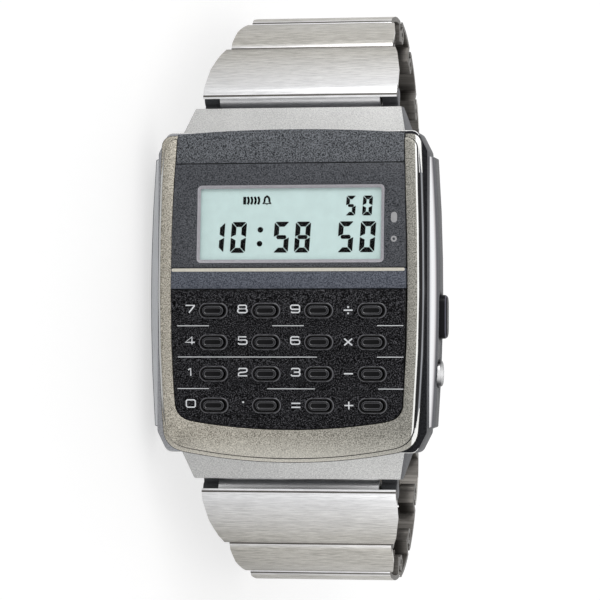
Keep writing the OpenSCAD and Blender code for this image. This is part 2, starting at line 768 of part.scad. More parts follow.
module stem_clip() {
    translate([0, 0, clip_x]) linear_extrude(clip_t) difference() {
        circle(d = 1.7 * stem_d);
        circle(d = 0.6 * stem_d + 2 * stem_clear);
        translate([-0.2 * stem_d, 0]) square([0.4 * stem_d, stem_d]);
    }
}

module mode_button() {
    edge = 0.3;
    color([0.12, 0.12, 0.13]) translate([0, mode_y, pusher_z]) rotate([90, 0, 90]) {
        stem();
        translate([0, 0, head_rear_x]) linear_extrude(mode_tip_x - edge - head_rear_x)
            stadium(mode_len, mode_w);
        translate([0, 0, mode_tip_x - 2 * edge]) linear_extrude(2 * edge)
            stadium(mode_len - 2 * edge, mode_w - 2 * edge);
    }
}

module mode_button_clip() {
    color([0.75, 0.75, 0.75]) translate([0, mode_y, pusher_z]) rotate([90, 0, 90]) stem_clip();
}

module adjust_button() {
    dish_r = 3.2;
    color([0.75, 0.75, 0.75]) translate([0, adjust_y, pusher_z]) rotate([90, 0, 90]) {
        stem();
        difference() {
            translate([0, 0, head_rear_x]) cylinder(d = adjust_d, h = adjust_tip_x - head_rear_x);
            translate([0, 0, adjust_tip_x + dish_r - fit_gap * 3]) sphere(r = dish_r);
        }
    }
}

module adjust_button_clip() {
    color([0.75, 0.75, 0.75]) translate([0, adjust_y, pusher_z]) rotate([90, 0, 90]) stem_clip();
}

// A spring bar: sleeve and two thinner tips
module spring_bar(len, r, tip_r, tip_len) {
    rotate([0, 90, 0]) {
        cylinder(r = r, h = len - 2 * tip_len, center = true);
        cylinder(r = tip_r, h = len, center = true);
    }
}

module case_spring_bar() {
    color([0.8, 0.8, 0.8]) translate([0, bar_y, bar_z])
        spring_bar(band_root_w - 4 * plate_t, bar_r, bar_r * 0.7, side_knuckle_w / 2);
}

module spring_bar_upper() {
    case_spring_bar();
}

module spring_bar_lower() {
    mirror([0, 1, 0]) case_spring_bar();
}

// Side view of a link's outer plate: rolled back over its pin, then crowned
module plate_profile(pitch, roll) {
    end_u = pitch - plate_top + 2 * fit_gap;
    inner_r = plate_top - plate_t;
    steps = 5;
    function crowned(r, i) = [end_u * i / steps, r + plate_crown * sin(180 * i / steps)];
    polygon(concat(
        arc([0, 0], plate_top, 90 + roll, 90, 8),
        [for (i = [1 : steps]) crowned(plate_top, i)],
        [for (i = [steps : -1 : 1]) crowned(inner_r, i)],
        arc([0, 0], inner_r, 90, 90 + roll, 8)
    ));
}

// The leg and arm that carry the next pin's side knuckle
module arm_profile(pitch) {
    end_u = pitch - plate_top + 2 * fit_gap;
    low = -0.75 * knuckle_r;
    translate([end_u - 1.5 * plate_t, low]) square([1.5 * plate_t, plate_top - plate_t / 2 - low]);
    translate([end_u - plate_t, low]) square([pitch - end_u + plate_t, -low + 0.3 * knuckle_r]);
    translate([pitch, 0]) circle(r = knuckle_r);
}

// The barrel round a link's own pin, its neck up to the plate, and the folded tongue
module barrel_profile(pitch) {
    tongue_end = pitch - plate_top - 2 * plate_t;
    circle(r = knuckle_r);
    translate([-knuckle_r / 2, 0]) square([knuckle_r, plate_top - plate_t / 2]);
    translate([0, -knuckle_r]) square([tongue_end, plate_t]);
    translate([tongue_end - plate_t, -knuckle_r]) square([plate_t, plate_top + knuckle_r - plate_t / 2]);
}

// A link along +Y, its own pin at the middle, its outer face up
module link_body(pitch, start_w, end_w, own_r) {
    end_inner = barrel_w(end_w) / 2 + knuckle_gap;
    reach = pitch + 2 * plate_top;
    function half_w(s) = end_w / 2 + (start_w - end_w) / 2 * (1 - s * s);
    shares = start_w == end_w ? [0, 1] : [0, 0.35, 0.7, 1];
    difference() {
        intersection() {
            union() {
                along_x(start_w) plate_profile(pitch, roll_angle);
                along_x(barrel_w(start_w)) plate_profile(pitch, wrap_angle);
                for (side = [-1, 1]) translate([side * (end_inner + start_w / 2), 0, 0])
                    along_x(start_w) arm_profile(pitch);
                along_x(barrel_w(start_w)) barrel_profile(pitch);
            }
            translate([0, 0, -reach]) linear_extrude(2 * reach) polygon(concat(
                [[-start_w / 2, -2 * plate_top], [start_w / 2, -2 * plate_top]],
                [for (s = shares) [half_w(s), s * pitch]],
                [[end_w / 2, reach], [-end_w / 2, reach]],
                [for (i = [len(shares) - 1 : -1 : 0]) [-half_w(shares[i]), shares[i] * pitch]]
            ));
        }
        rotate([0, 90, 0]) cylinder(r = own_r + pin_clear, h = 2 * start_w, center = true);
        translate([0, pitch, 0]) rotate([0, 90, 0])
            cylinder(r = pin_r + pin_clear, h = 2 * start_w, center = true);
    }
}

// Link i of the upper half with its own pin; the first turns on the case's spring bar
module link(i) {
    start_w = link_start_w[i];
    pin = pin_at(i);
    color([0.75, 0.75, 0.74]) translate([0, pin.x, pin.y]) rotate([-link_angles[i], 0, 0]) {
        link_body(link_length(i), start_w, link_end_w[i], i == 0 ? bar_r : pin_r);
        if (i > 0) rotate([0, 90, 0]) cylinder(r = pin_r, h = start_w - 2 * plate_t, center = true);
    }
}

module upper_link_1() { link(0); }
module upper_link_2() { link(1); }
module upper_link_3() { link(2); }
module upper_link_4() { link(3); }
module upper_link_5() { link(4); }
module upper_link_6() {
    // The clasp's spring bar stays in the last link, its tips drawn in
    link(5);
    color([0.8, 0.8, 0.8]) translate([0, clasp_pin.x, clasp_pin.y]) rotate([0, 90, 0])
        cylinder(r = pin_r, h = band_tip_w - 2 * fit_gap, center = true);
}
module lower_link_1() { mirror([0, 1, 0]) link(0); }
module lower_link_2() { mirror([0, 1, 0]) link(1); }
module lower_link_3() { mirror([0, 1, 0]) link(2); }
module lower_link_4() { mirror([0, 1, 0]) link(3); }
module lower_link_5() { mirror([0, 1, 0]) link(4); }
module lower_link_6() { mirror([0, 1, 0]) link(5); }

// Levels of the blades: the inner one rides over the fold pin, the outer one between the pins
inner_blade_z = clasp_pin.y + knuckle_r - blade_t;
clasp_barrel_w = blade_w / 3;

module bored(at, r) {
    difference() {
        children();
        translate([0, at.x, at.y]) rotate([0, 90, 0]) cylinder(r = r, h = 2 * clasp_w, center = true);
    }
}

// A blade's plate between two points, cut away round the middle barrel at one of them
module blade_plate(from, to, level, barrel_at) {
    slot = clasp_knuckle_r + fit_gap;
    difference() {
        along_x(blade_w) translate([from, level]) square([to - from, blade_t]);
        along_x(clasp_barrel_w + 2 * knuckle_gap)
            translate([barrel_at.x - slot, level - blade_t]) square([2 * slot, 3 * blade_t]);
    }
}

module blade_pin(at, w) {
    translate([0, at.x, at.y]) rotate([0, 90, 0]) cylinder(r = pin_r, h = w, center = true);
}

module clasp_inner_blade() {
    start = [-clasp_pin.x, clasp_pin.y];
    side_w = (blade_w - clasp_barrel_w) / 2 - knuckle_gap;
    color([0.72, 0.72, 0.71]) {
        bored(start, pin_r + pin_clear) bored(fold_pin, pin_r + pin_clear) union() {
            along_x(barrel_w(band_tip_w)) {
                translate([start.x, start.y]) circle(r = knuckle_r);
                translate([start.x, inner_blade_z]) square([knuckle_r * 2, blade_t]);
            }
            blade_plate(start.x, fold_pin.x, inner_blade_z, fold_pin);
            for (side = [-1, 1]) translate([side * (blade_w - side_w) / 2, 0, 0]) along_x(side_w) {
                translate([fold_pin.x, fold_pin.y]) circle(r = clasp_knuckle_r);
                translate([fold_pin.x - clasp_knuckle_r / 2, fold_pin.y])
                    square([clasp_knuckle_r, inner_blade_z - fold_pin.y + blade_t / 2]);
            }
        }
        blade_pin(start, barrel_w(band_tip_w) + side_knuckle_w);
    }
}

module clasp_outer_blade() {
    blade_z = cover_pin.y + clasp_knuckle_r - blade_t;
    side_w = (blade_w - clasp_barrel_w) / 2 - knuckle_gap;
    color([0.72, 0.72, 0.71]) {
        bored(fold_pin, pin_r + pin_clear) bored(cover_pin, pin_r + pin_clear) union() {
            along_x(clasp_barrel_w) {
                translate([fold_pin.x, fold_pin.y]) circle(r = clasp_knuckle_r);
                translate([fold_pin.x - 2 * clasp_knuckle_r, blade_z])
                    square([2 * clasp_knuckle_r, blade_t]);
            }
            blade_plate(cover_pin.x, fold_pin.x - clasp_knuckle_r - fit_gap, blade_z, cover_pin);
            for (side = [-1, 1]) translate([side * (blade_w - side_w) / 2, 0, 0])
                along_x(side_w) translate([cover_pin.x, cover_pin.y]) circle(r = clasp_knuckle_r);
        }
        blade_pin(fold_pin, blade_w);
    }
}

module clasp_cover() {
    ear_top = clasp_pin.y + knuckle_r;
    ear_start = clasp_pin.x - knuckle_r;
    plate_end = ear_start - 4 * fit_gap;
    color([0.76, 0.76, 0.75]) {
        bored(clasp_pin, pin_r + seat_gap) bored(cover_pin, pin_r + pin_clear) union() {
            along_x(clasp_w) translate([-ear_start, cover_outer_z])
                square([plate_end + ear_start, clasp_t]);
            for (side = [-1, 1]) translate([side * (clasp_w - clasp_t) / 2, 0, 0]) along_x(clasp_t) {
                translate([-ear_start, cover_outer_z])
                    square([clasp_pin.x + ear_start, ear_top - cover_outer_z]);
                translate([clasp_pin.x, clasp_pin.y]) circle(r = knuckle_r);
                translate([ear_start, cover_outer_z]) square([knuckle_r, knuckle_r]);
            }
            along_x(clasp_barrel_w) {
                translate([cover_pin.x, cover_pin.y]) circle(r = clasp_knuckle_r);
                translate([cover_pin.x - clasp_knuckle_r / 2, cover_outer_z])
                    square([clasp_knuckle_r, cover_pin.y - cover_outer_z]);
            }
        }
        blade_pin(cover_pin, blade_w);
    }
}

echo(tilt = rest_tilt, height = rest_height, depth = rest_depth);
echo(pins = [for (i = [0 : link_count]) placed([0, pin_at(i).x, pin_at(i).y])]);
echo(lower_pins = [for (i = [0 : link_count]) placed([0, -pin_at(i).x, pin_at(i).y])]);
echo(folds = [placed([0, fold_pin.x, fold_pin.y]), placed([0, cover_pin.x, cover_pin.y])]);
echo(axis = turned([1, 0, 0]), face = turned([0, 0, 1]), cover_z = cover_outer_z);
echo(link_angles = link_angles, lug_swing = lug_swing, back_bend = back_bend, clasp_open = clasp_open);
echo(pusher_travel = pusher_travel, key_travel = key_travel);
spring_gap = (pocket_floor_x - seal_seat_x - seal_t - 2 * seat_gap) / spring_turns - spring_wire;
echo(spring_gap = spring_gap);

place() mid_case();
place() bezel_frame();
place() top_strip();
place() display_glass();
place() divider_bar();
place() keypad_plate();
place() lcd_panel();
place() lcd_connectors();
place() module_frame();
place() circuit_board();
place() key_rubber();
place() battery();
place() battery_clip();
place() buzzer_disc();
place() buzzer_spring();
place() case_back();
place() case_back_gasket();
place() case_back_screws();
place() button_seals();
place() button_springs();
place() spring_bar_upper();
place() spring_bar_lower();
place() mode_button();
place() mode_button_clip();
place() adjust_button();
place() adjust_button_clip();
place() key(0, 0);  // key_7
place() key(0, 1);  // key_8
place() key(0, 2);  // key_9
place() key(0, 3);  // key_divide
place() key(1, 0);  // key_4
place() key(1, 1);  // key_5
place() key(1, 2);  // key_6
place() key(1, 3);  // key_multiply
place() key(2, 0);  // key_1
place() key(2, 1);  // key_2
place() key(2, 2);  // key_3
place() key(2, 3);  // key_minus
place() key(3, 0);  // key_0
place() key(3, 1);  // key_point
place() key(3, 2);  // key_equals
place() key(3, 3);  // key_plus
place() upper_link_1();
place() upper_link_2();
place() upper_link_3();
place() upper_link_4();
place() upper_link_5();
place() upper_link_6();
place() lower_link_1();
place() lower_link_2();
place() lower_link_3();
place() lower_link_4();
place() lower_link_5();
place() lower_link_6();
place() clasp_inner_blade();
place() clasp_outer_blade();
place() clasp_cover();
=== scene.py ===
"""Dresses the calculator watch: case, face, keys, display, pushers, bracelet and clasp.

Every piece is modelled in the watch's own axes, in millimetres (X to 3 o'clock, Y to
12 o'clock, Z out of the face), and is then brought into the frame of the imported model.
"""

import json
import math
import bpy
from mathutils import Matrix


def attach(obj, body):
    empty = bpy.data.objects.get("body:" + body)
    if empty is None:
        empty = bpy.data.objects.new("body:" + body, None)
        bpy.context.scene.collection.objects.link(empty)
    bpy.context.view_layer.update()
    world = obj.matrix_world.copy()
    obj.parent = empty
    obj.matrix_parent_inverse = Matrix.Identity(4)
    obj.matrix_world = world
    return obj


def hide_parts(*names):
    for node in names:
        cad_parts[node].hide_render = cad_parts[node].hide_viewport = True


bl_info = {
    "name": "Calculator watch",
    "version": (1, 0, 0),
    "blender": (4, 5, 0),
    "location": "View3D > Sidebar > Watch",
    "description": "Models and finishes the visible pieces of a calculator watch",
    "category": "Object",
}

import bmesh
import bpy
from bpy.props import FloatProperty, FloatVectorProperty
from mathutils import Matrix, Vector

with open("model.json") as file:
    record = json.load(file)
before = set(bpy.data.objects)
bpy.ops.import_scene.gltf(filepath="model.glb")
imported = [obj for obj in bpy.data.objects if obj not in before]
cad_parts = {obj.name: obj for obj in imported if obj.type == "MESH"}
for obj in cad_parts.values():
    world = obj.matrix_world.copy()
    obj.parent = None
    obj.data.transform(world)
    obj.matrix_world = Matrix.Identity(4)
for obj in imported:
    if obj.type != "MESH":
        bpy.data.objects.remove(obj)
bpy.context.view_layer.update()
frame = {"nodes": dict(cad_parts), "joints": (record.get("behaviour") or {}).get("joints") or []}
JOINTS = {joint["name"]: joint for joint in frame["joints"]}

MM = 0.001
TINY = 1e-4
LINKS = 6

# Sizes and places of the solids that the scene's own pieces follow, in watch millimetres
BAR_Z = -0.9
FACE_TOP = 8.2
FACE_RADIUS = 125.0
SHOULDER_Y = 18.3
SHOULDER_LOW_Z = 0.9
RAIL_Z = 4.1
DECK_Z = 5.3
LEDGE_Z = 6.45
RAIL_X = (16.2, 17.4)
# The next five lines place painted light on the bezel and its ledge: the edge highlight, the shade
# on the ledge's 3 o'clock side and the shade at its corners
BEZEL_HIGHLIGHT_X = (15.3, 15.38)
LEDGE_FOLD_X = 15.45
LEDGE_WALL_X = (15.76, 15.8)
LEDGE_MIDDLE_Y = 1.0
LEDGE_CORNER_SHADE = (13.0, 15.5)
RAIL_BOW = 0.0022
BEZEL_BOW = 0.0013
FOOT_BOW = 0.0074
FOOT_Y = -15.0
# Where the bezel's painted highlight at its foot starts and where it is strongest
FOOT_SHINE = (17.0, 20.4)
WINDOW = (22.4, 9.2)
WINDOW_X = 0.24
WINDOW_Y = 7.95
WINDOW_CORNER = 0.5
WINDOW_SHADE = (2.7, 1.2)
KEY_FIRST = (-8.87, -2.3)
KEY_PITCH = (6.32, 3.72)
KEY_BASE = 5.1
KEY_PROUD = 0.65
KEY_CAP = (2.6, 1.2)
KEY_FLANGE = (3.0, 1.6, 0.45)
COLLAR = (3.5, 1.9, 0.4)
COLLAR_PROUD = 0.26
PUSHER_REAR_X = 16.0
PUSHER_Z = 2.35
PUSHER_STEM = 4.0
OBLONG_Y = -2.9
ROUND_Y = -9.6

# Points closer than this are joined, before wide bevels and before fine ones
COARSE = 0.06
FINE = 0.002

# Degrees: faces this close to one plane become one, and edges this blunt are shaded smooth
FLAT_ANGLE = 0.6
SMOOTH_ANGLE = 35

# Where the camera stands, what it looks at and its upward direction, in watch millimetres
CAMERA_SPOT = Vector((71.61, -12.64, 385.27))
CAMERA_TARGET = Vector((1.33, -1.02, 7.2))
CAMERA_UP = Vector((-0.0033, 1, 0.0006))


# Places


def watch_matrix():
    """The watch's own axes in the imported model's frame, millimetres to metres."""
    x_axis = -Vector(JOINTS["upper_hinge_1"]["axis"])
    z_axis = -Vector(JOINTS["key_0_press"]["axis"])
    y_axis = z_axis.cross(x_axis)
    bars = [Vector(JOINTS[f"{half}_hinge_1"]["pos_m"]) for half in ("upper", "lower")]
    origin = (bars[0] + bars[1]) / 2 - BAR_Z * MM * z_axis
    turn = Matrix((x_axis, y_axis, z_axis)).transposed().to_4x4()
    return Matrix.Translation(origin) @ turn @ Matrix.Scale(MM, 4)


WATCH = watch_matrix()
TO_WATCH = WATCH.inverted()


def pin_places(half):
    """The pins of one half of the bracelet in watch millimetres, the clasp's pin last."""
    places = [TO_WATCH @ Vector(JOINTS[f"{half}_hinge_{i + 1}"]["pos_m"]) for i in range(LINKS)]
    clasp = TO_WATCH @ Vector(JOINTS["clasp_hinge"]["pos_m"])
    if half == "upper":
        clasp.y = -clasp.y
    return places + [clasp]


def link_matrix(half, i):
    """A link's own axes: its pin at the middle, the next pin along Y, Z outwards."""
    pins = pin_places(half)
    y_axis = (pins[i + 1] - pins[i]).normalized()
    x_axis = Vector((1, 0, 0)) if half == "upper" else Vector((-1, 0, 0))
    z_axis = x_axis.cross(y_axis)
    turn = Matrix((x_axis, y_axis, z_axis)).transposed().to_4x4()
    return Matrix.Translation(pins[i]) @ turn


def face_height(y):
    """Height of the domed face at a distance from the middle."""
    return FACE_TOP - FACE_RADIUS + math.sqrt(FACE_RADIUS**2 - y * y)


def on_face(x, y, lift=0.0):
    """The axes of something that lies on the dome."""
    lean = -math.asin(y / FACE_RADIUS)
    place = Matrix.Translation((x, y, face_height(y) + lift))
    return place @ Matrix.Rotation(lean, 4, "X")


# Modelling


def deselect_all():
    if bpy.context.object and bpy.context.object.mode != "OBJECT":
        bpy.ops.object.mode_set(mode="OBJECT")
    bpy.ops.object.select_all(action="DESELECT")


def select_only(piece):
    deselect_all()
    piece.select_set(True)
    bpy.context.view_layer.objects.active = piece


def edit(piece, kind="VERT"):
    select_only(piece)
    bpy.ops.object.mode_set(mode="EDIT")
    bpy.ops.mesh.select_mode(type=kind)
    bpy.ops.mesh.select_all(action="DESELECT")


def done():
    bpy.ops.object.mode_set(mode="OBJECT")


def pick(test, kind="VERT"):
    """Selects the vertices, edges or faces whose middle passes a test, in edit mode."""
    bpy.ops.mesh.select_mode(type=kind)
    bpy.ops.mesh.select_all(action="DESELECT")
    mesh = bmesh.from_edit_mesh(bpy.context.object.data)
    elements = {"VERT": mesh.verts, "EDGE": mesh.edges, "FACE": mesh.faces}[kind]
    for element in elements:
        if kind == "VERT":
            middle = element.co
        elif kind == "EDGE":
            middle = (element.verts[0].co + element.verts[1].co) / 2
        else:
            middle = element.calc_center_median()
        if test(middle, element):
            element.select_set(True)
    mesh.select_flush_mode()
    bmesh.update_edit_mesh(bpy.context.object.data)


def pick_end(height):
    """Selects the round or stadium-shaped face that ends a solid at a height."""
    pick(lambda middle, face: abs(middle.z - height) < TINY and len(face.verts) > 4, "FACE")


def pull(offset):
    bpy.ops.transform.translate(value=offset)


def extrude(offset):
    bpy.ops.mesh.extrude_region_move(TRANSFORM_OT_translate={"value": offset})


def pull_ends(length, width):
    """Draws the two halves of a round solid apart along X, to a length over all."""
    for side in (-1, 1):
        pick(lambda middle, _: middle.x * side > TINY)
        pull((side * (length - width) / 2, 0, 0))


def apply_modifier(piece, kind, **settings):
    select_only(piece)
    modifier = piece.modifiers.new(kind.title(), kind)
    for key, value in settings.items():
        setattr(modifier, key, value)
    bpy.ops.object.modifier_apply(modifier=modifier.name)


def soften(piece, width, segments=2, angle=30, clamped=True):
    """Rounds a piece's sharp edges."""
    apply_modifier(
        piece, "BEVEL", width=width, segments=segments, limit_method="ANGLE",
        angle_limit=math.radians(angle), use_clamp_overlap=clamped,
    )


def place(piece, matrix):
    """Moves a piece's mesh, as a whole, from its own axes to where they stand."""
    select_only(piece)
    piece.matrix_world = matrix @ piece.matrix_world
    bpy.ops.object.transform_apply(location=True, rotation=True, scale=True)


def paint(piece, names, choose=None):
    """Gives a piece its finishes. choose picks one for each face by its middle and normal."""
    piece.data.materials.clear()
    for name in names:
        piece.data.materials.append(finish(name))
    for face in piece.data.polygons:
        face.material_index = choose(face.center, face.normal) if choose else 0


def settle(piece, name, body, replaces=(), place_at=None):
    """Brings a finished piece to its place in the model's frame and hangs it on its body."""
    piece.name = name
    piece.data.name = name
    place(piece, WATCH @ (place_at or Matrix()))
    bpy.ops.object.shade_smooth_by_angle(angle=math.radians(SMOOTH_ANGLE))
    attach(piece, body)
    if replaces:
        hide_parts(*replaces)
    return piece


def dressed(node, name, look, slot, bevel, body="case", **shape):
    """A CAD node with round edges and one finish, in place of the node."""
    piece = remodelled(node, bevel, **shape)
    paint(piece, [look])
    return settle(piece, name, body, [node])


def copied(piece):
    twin = piece.copy()
    twin.data = piece.data.copy()
    bpy.context.scene.collection.objects.link(twin)
    return twin


def join(pieces):
    deselect_all()
    for piece in pieces:
        piece.select_set(True)
    bpy.context.view_layer.objects.active = pieces[0]
    if len(pieces) > 1:
        bpy.ops.object.join()
    return pieces[0]


def remodelled(node, bevel=0.0, segments=2, merge=FINE):
    """A copy of a CAD node with whole faces, in watch millimetres, its edges rounded.

    merge joins points closer than it, because short edges on a curve hold a bevel back.
    """
    source = frame["nodes"][node]
    piece = bpy.data.objects.new(node + "_copy", source.data.copy())
    bpy.context.scene.collection.objects.link(piece)
    select_only(piece)
    piece.matrix_world = TO_WATCH
    bpy.ops.object.transform_apply(location=True, rotation=True, scale=True)
    edit(piece)
    bpy.ops.mesh.select_all(action="SELECT")
    bpy.ops.mesh.remove_doubles(threshold=merge)
    bpy.ops.mesh.dissolve_limited(angle_limit=math.radians(FLAT_ANGLE))
    done()
    if bevel:
        soften(piece, bevel, segments, clamped=merge < COARSE)
    return piece


def bow_foot(piece, cuts=5, shortest=3, level=0.2):
    """Curves the long straight runs at the face's foot, where the outline is an arc.

    A run is an edge longer than the shortest, with both ends at one height.
    """
    edit(piece, "EDGE")
    mesh = bmesh.from_edit_mesh(piece.data)
    runs = []
    for edge in mesh.edges:
        start, end = sorted((vert.co.copy() for vert in edge.verts), key=lambda co: co.x)
        is_level = abs(end.z - start.z) < level
        if end.x - start.x > shortest and max(start.y, end.y) < FOOT_Y and is_level:
            runs.append((start, end))
    for start, end in runs:
        middle = (start + end) / 2
        pick(lambda place, _: (place - middle).length < 1e-3, "EDGE")
        bpy.ops.mesh.subdivide(number_cuts=cuts)
        for i in range(cuts):
            point = start.lerp(end, (i + 1) / (cuts + 1))
            pick(lambda place, _: (place - point).length < 1e-3)
            shift = -FOOT_BOW * (point.x - start.x) * (end.x - point.x)
            pull((0, shift, -point.y / FACE_RADIUS * shift if point.z > LEDGE_Z else 0))
    pick(lambda _, element: len(element.verts) > 4 and element.normal.z > 0.5, "FACE")
    bpy.ops.mesh.quads_convert_to_tris(ngon_method="BEAUTY")
    done()


def stretched_disc(length, width, height, sides=32):
    """A solid with round ends along X, standing on Z = 0."""
    bpy.ops.mesh.primitive_cylinder_add(
        vertices=sides, radius=width / 2, depth=height, location=(0, 0, height / 2)
    )
    piece = bpy.context.object
    bpy.ops.object.transform_apply(location=True, rotation=False, scale=False)
    edit(piece)
    pull_ends(length, width)
    done()
    return piece


def round_head(length, width, height, edge, segments, sides=32):
    """A solid with round ends and a round upper edge, its end face selected in edit mode."""
    piece = stretched_disc(length, width, height, sides)
    edit(piece)
    pick_end(height)
    bpy.ops.mesh.bevel(offset=edge, segments=segments, affect="EDGES")
    pick_end(height)
    return piece


def rounded_plate(width, height, corner, thickness=0.0, segments=5):
    """A flat plate with round corners in the XY plane, its upper face at Z = 0."""
    bpy.ops.mesh.primitive_plane_add(size=1)
    piece = bpy.context.object
    piece.scale = (width, height, 1)
    bpy.ops.object.transform_apply(location=False, rotation=False, scale=True)
    edit(piece)
    bpy.ops.mesh.select_all(action="SELECT")
    bpy.ops.mesh.bevel(offset=corner, segments=segments, affect="VERTICES")
    done()
    if thickness:
        apply_modifier(piece, "SOLIDIFY", thickness=thickness, offset=-1)
    return piece


def bar(length, width, height=0.02):
    """A thin printed bar with pointed ends, as a display's segment."""
    bpy.ops.mesh.primitive_cylinder_add(
        vertices=6, radius=width / 2, depth=height, rotation=(0, 0, math.pi / 6)
    )
    piece = bpy.context.object
    bpy.ops.object.transform_apply(location=False, rotation=True, scale=False)
    edit(piece)
    pull_ends(length, width)
    done()
    return piece


# Finishes


def srgb(red, green, blue):
    """A colour as it looks on screen, 0 to 255, in linear light."""

    def linear(value):
        value /= 255
        return value / 12.92 if value <= 0.04045 else ((value + 0.055) / 1.055) ** 2.4

    return (linear(red), linear(green), linear(blue), 1.0)


def grey(level):
    return (level, level, level, 1.0)


class Wire:
    """A socket that carries a number, with arithmetic."""

    def __init__(self, kit, socket):
        self.kit = kit
        self.socket = socket

    def _maths(self, operation, first, second):
        return self.kit.add("ShaderNodeMath", {"operation": operation}, {0: first, 1: second})

    def __add__(self, other):
        return self._maths("ADD", self, other)

    def __sub__(self, other):
        return self._maths("SUBTRACT", self, other)

    def __rsub__(self, other):
        return self._maths("SUBTRACT", other, self)

    def __mul__(self, other):
        return self._maths("MULTIPLY", self, other)

    __radd__ = __add__
    __rmul__ = __mul__

    def __gt__(self, other):
        return self._maths("GREATER_THAN", self, other)

    def __lt__(self, other):
        return self._maths("LESS_THAN", self, other)

    def __abs__(self):
        return self._maths("ABSOLUTE", self, 0.0)


class Finish:
    """Builds one material, or the world, out of nodes."""

    def __init__(self, owner):
        owner.use_nodes = True
        self.owner = owner
        self.nodes = owner.node_tree.nodes
        self.links = owner.node_tree.links
        self.nodes.clear()

    def add(self, kind, settings=None, inputs=None, output=0):
        """Adds a node, sets its settings first and its sockets next, and gives one output."""
        node = self.nodes.new(kind)
        for key, value in (settings or {}).items():
            if key == "stops":
                ramp = node.color_ramp.elements
                while len(ramp) < len(value):
                    ramp.new(0.5)
                for element, (position, colour) in zip(ramp, value):
                    element.position = position
                    element.color = colour
            else:
                setattr(node, key, value)
        for key, value in (inputs or {}).items():
            if isinstance(value, Wire):
                self.links.new(value.socket, node.inputs[key])
            else:
                node.inputs[key].default_value = value
        return Wire(self, node.outputs[output]) if node.outputs else None

    def watch_place(self):
        """The surface's point in watch millimetres."""
        point = self.add("ShaderNodeTexCoord", output="Object")
        turn = TO_WATCH.to_quaternion().to_euler()
        return self.add(
            "ShaderNodeMapping",
            {"vector_type": "POINT"},
            {
                "Vector": point,
                "Location": tuple(TO_WATCH.to_translation()),
                "Rotation": tuple(turn),
                "Scale": (1 / MM,) * 3,
            },
        )

    def axis(self, name):
        return self.add(
            "ShaderNodeSeparateXYZ", inputs={"Vector": self.watch_place()}, output=name
        )

    def outward(self):
        """Distance towards 3 o'clock, with the bow of the case's outline taken out."""
        y = self.axis("Y")
        return self.axis("X") + y * y * (BEZEL_BOW * (y < 0.0) + BEZEL_BOW)

    def grain(self, per_mm, detail=2.0, roughness=0.5):
        """Noise, as fine all round or with its own fineness along each of the watch's axes."""
        if not isinstance(per_mm, tuple):
            per_mm = (per_mm,) * 3
        stretched = self.add(
            "ShaderNodeVectorMath", {"operation": "MULTIPLY"},
            {0: self.watch_place(), 1: per_mm},
        )
        return self.add(
            "ShaderNodeTexNoise", {"noise_dimensions": "3D"},
            {"Vector": stretched, "Scale": 1.0, "Detail": detail, "Roughness": roughness},
        )

    def spread(self, wire, low, high, to_low=0.0, to_high=1.0):
        """Maps one range of a number onto another, held at its ends."""
        return self.add(
            "ShaderNodeMapRange", {"clamp": True},
            {"Value": wire, 1: low, 2: high, 3: to_low, 4: to_high},
        )

    def blend(self, share, first, second):
        """A colour between two others."""
        return self.add(
            "ShaderNodeMix", {"data_type": "RGBA"}, {0: share, 6: first, 7: second}, output=2
        )

    def bump(self, height, depth, strength=1.0):
        return self.add(
            "ShaderNodeBump", inputs={"Height": height, "Distance": depth, "Strength": strength},
        )

    def surface(self, **inputs):
        named = {key.replace("_", " "): value for key, value in inputs.items()}
        shader = self.add("ShaderNodeBsdfPrincipled", inputs=named)
        self.add("ShaderNodeOutputMaterial", inputs={"Surface": shader})
        return self.owner


FINISHES = {}


def user_colour(name, colour):
    """The colour that the user gave a finish, or else the one in its table."""
    given = getattr(bpy.context.scene.watch_colours, name, None)
    return srgb(*colour) if given is None else tuple(given) + (1.0,)


def finish(name):
    """A finish by its name, made the first time it is asked for."""
    if name not in FINISHES:
        kit = Finish(bpy.data.materials.new(name))
        if name in MOULDED:
            colour, *rest = MOULDED[name]
            FINISHES[name] = moulded(kit, user_colour(name, colour), *rest)
        elif name in SPECKLED:
            colour, light, *rest = SPECKLED[name]
            FINISHES[name] = speckled(kit, user_colour(name, colour), srgb(*light), *rest)
        else:
            FINISHES[name] = MAKERS[name](kit)
    return FINISHES[name]


def metal(kit, colour, texture, rough, smooth, **rest):
    """A metal, rough where its texture is low and smooth where it is high."""
    return kit.surface(
        Base_Color=colour, Metallic=1.0,
        Roughness=kit.spread(texture, 0.3, 0.7, rough, smooth), **rest,
    )


def brushed(kit, colour, dark, roughness=0.3, along=0.12, across=13.0):
    """Steel brushed along the watch's X."""
    lines = kit.grain((along, across, across), 2.0, 0.55)
    broad = kit.grain((along / 2, across / 8, across / 8))
    mixed = kit.spread(lines * 0.7 + broad * 0.3, 0.32, 0.68)
    return metal(
        kit, kit.blend(mixed, dark, colour), lines, roughness + 0.1, roughness - 0.06,
        Normal=kit.bump(lines, 0.00001, 0.4),
    )


def make_link(kit):
    """Fine brushed steel, with a painted highlight on the rolled edge that faces the case and
    painted shade towards the far end.
    """
    far = kit.add("ShaderNodeAttribute", {"attribute_name": "far"}, output=2)
    lines = kit.grain((0.5, 14.0, 14.0), 3.0, 0.7)
    broad = kit.grain((0.12, 1.8, 1.8))
    mixed = kit.spread(lines * 0.88 + broad * 0.12, 0.36, 0.64)
    # Painted highlight near the case and painted shade at the far end, blended along the far
    # attribute
    painted_highlight_near_case = kit.blend(mixed, srgb(216, 216, 217), srgb(254, 254, 255))
    painted_shade_far_end = kit.blend(mixed, srgb(160, 157, 150), srgb(230, 227, 220))
    return metal(
        kit, kit.blend(kit.spread(far, 0.0, 1.0), painted_highlight_near_case, painted_shade_far_end), lines, 0.38, 0.26,
        Normal=kit.bump(lines, 0.00001, 0.4),
    )


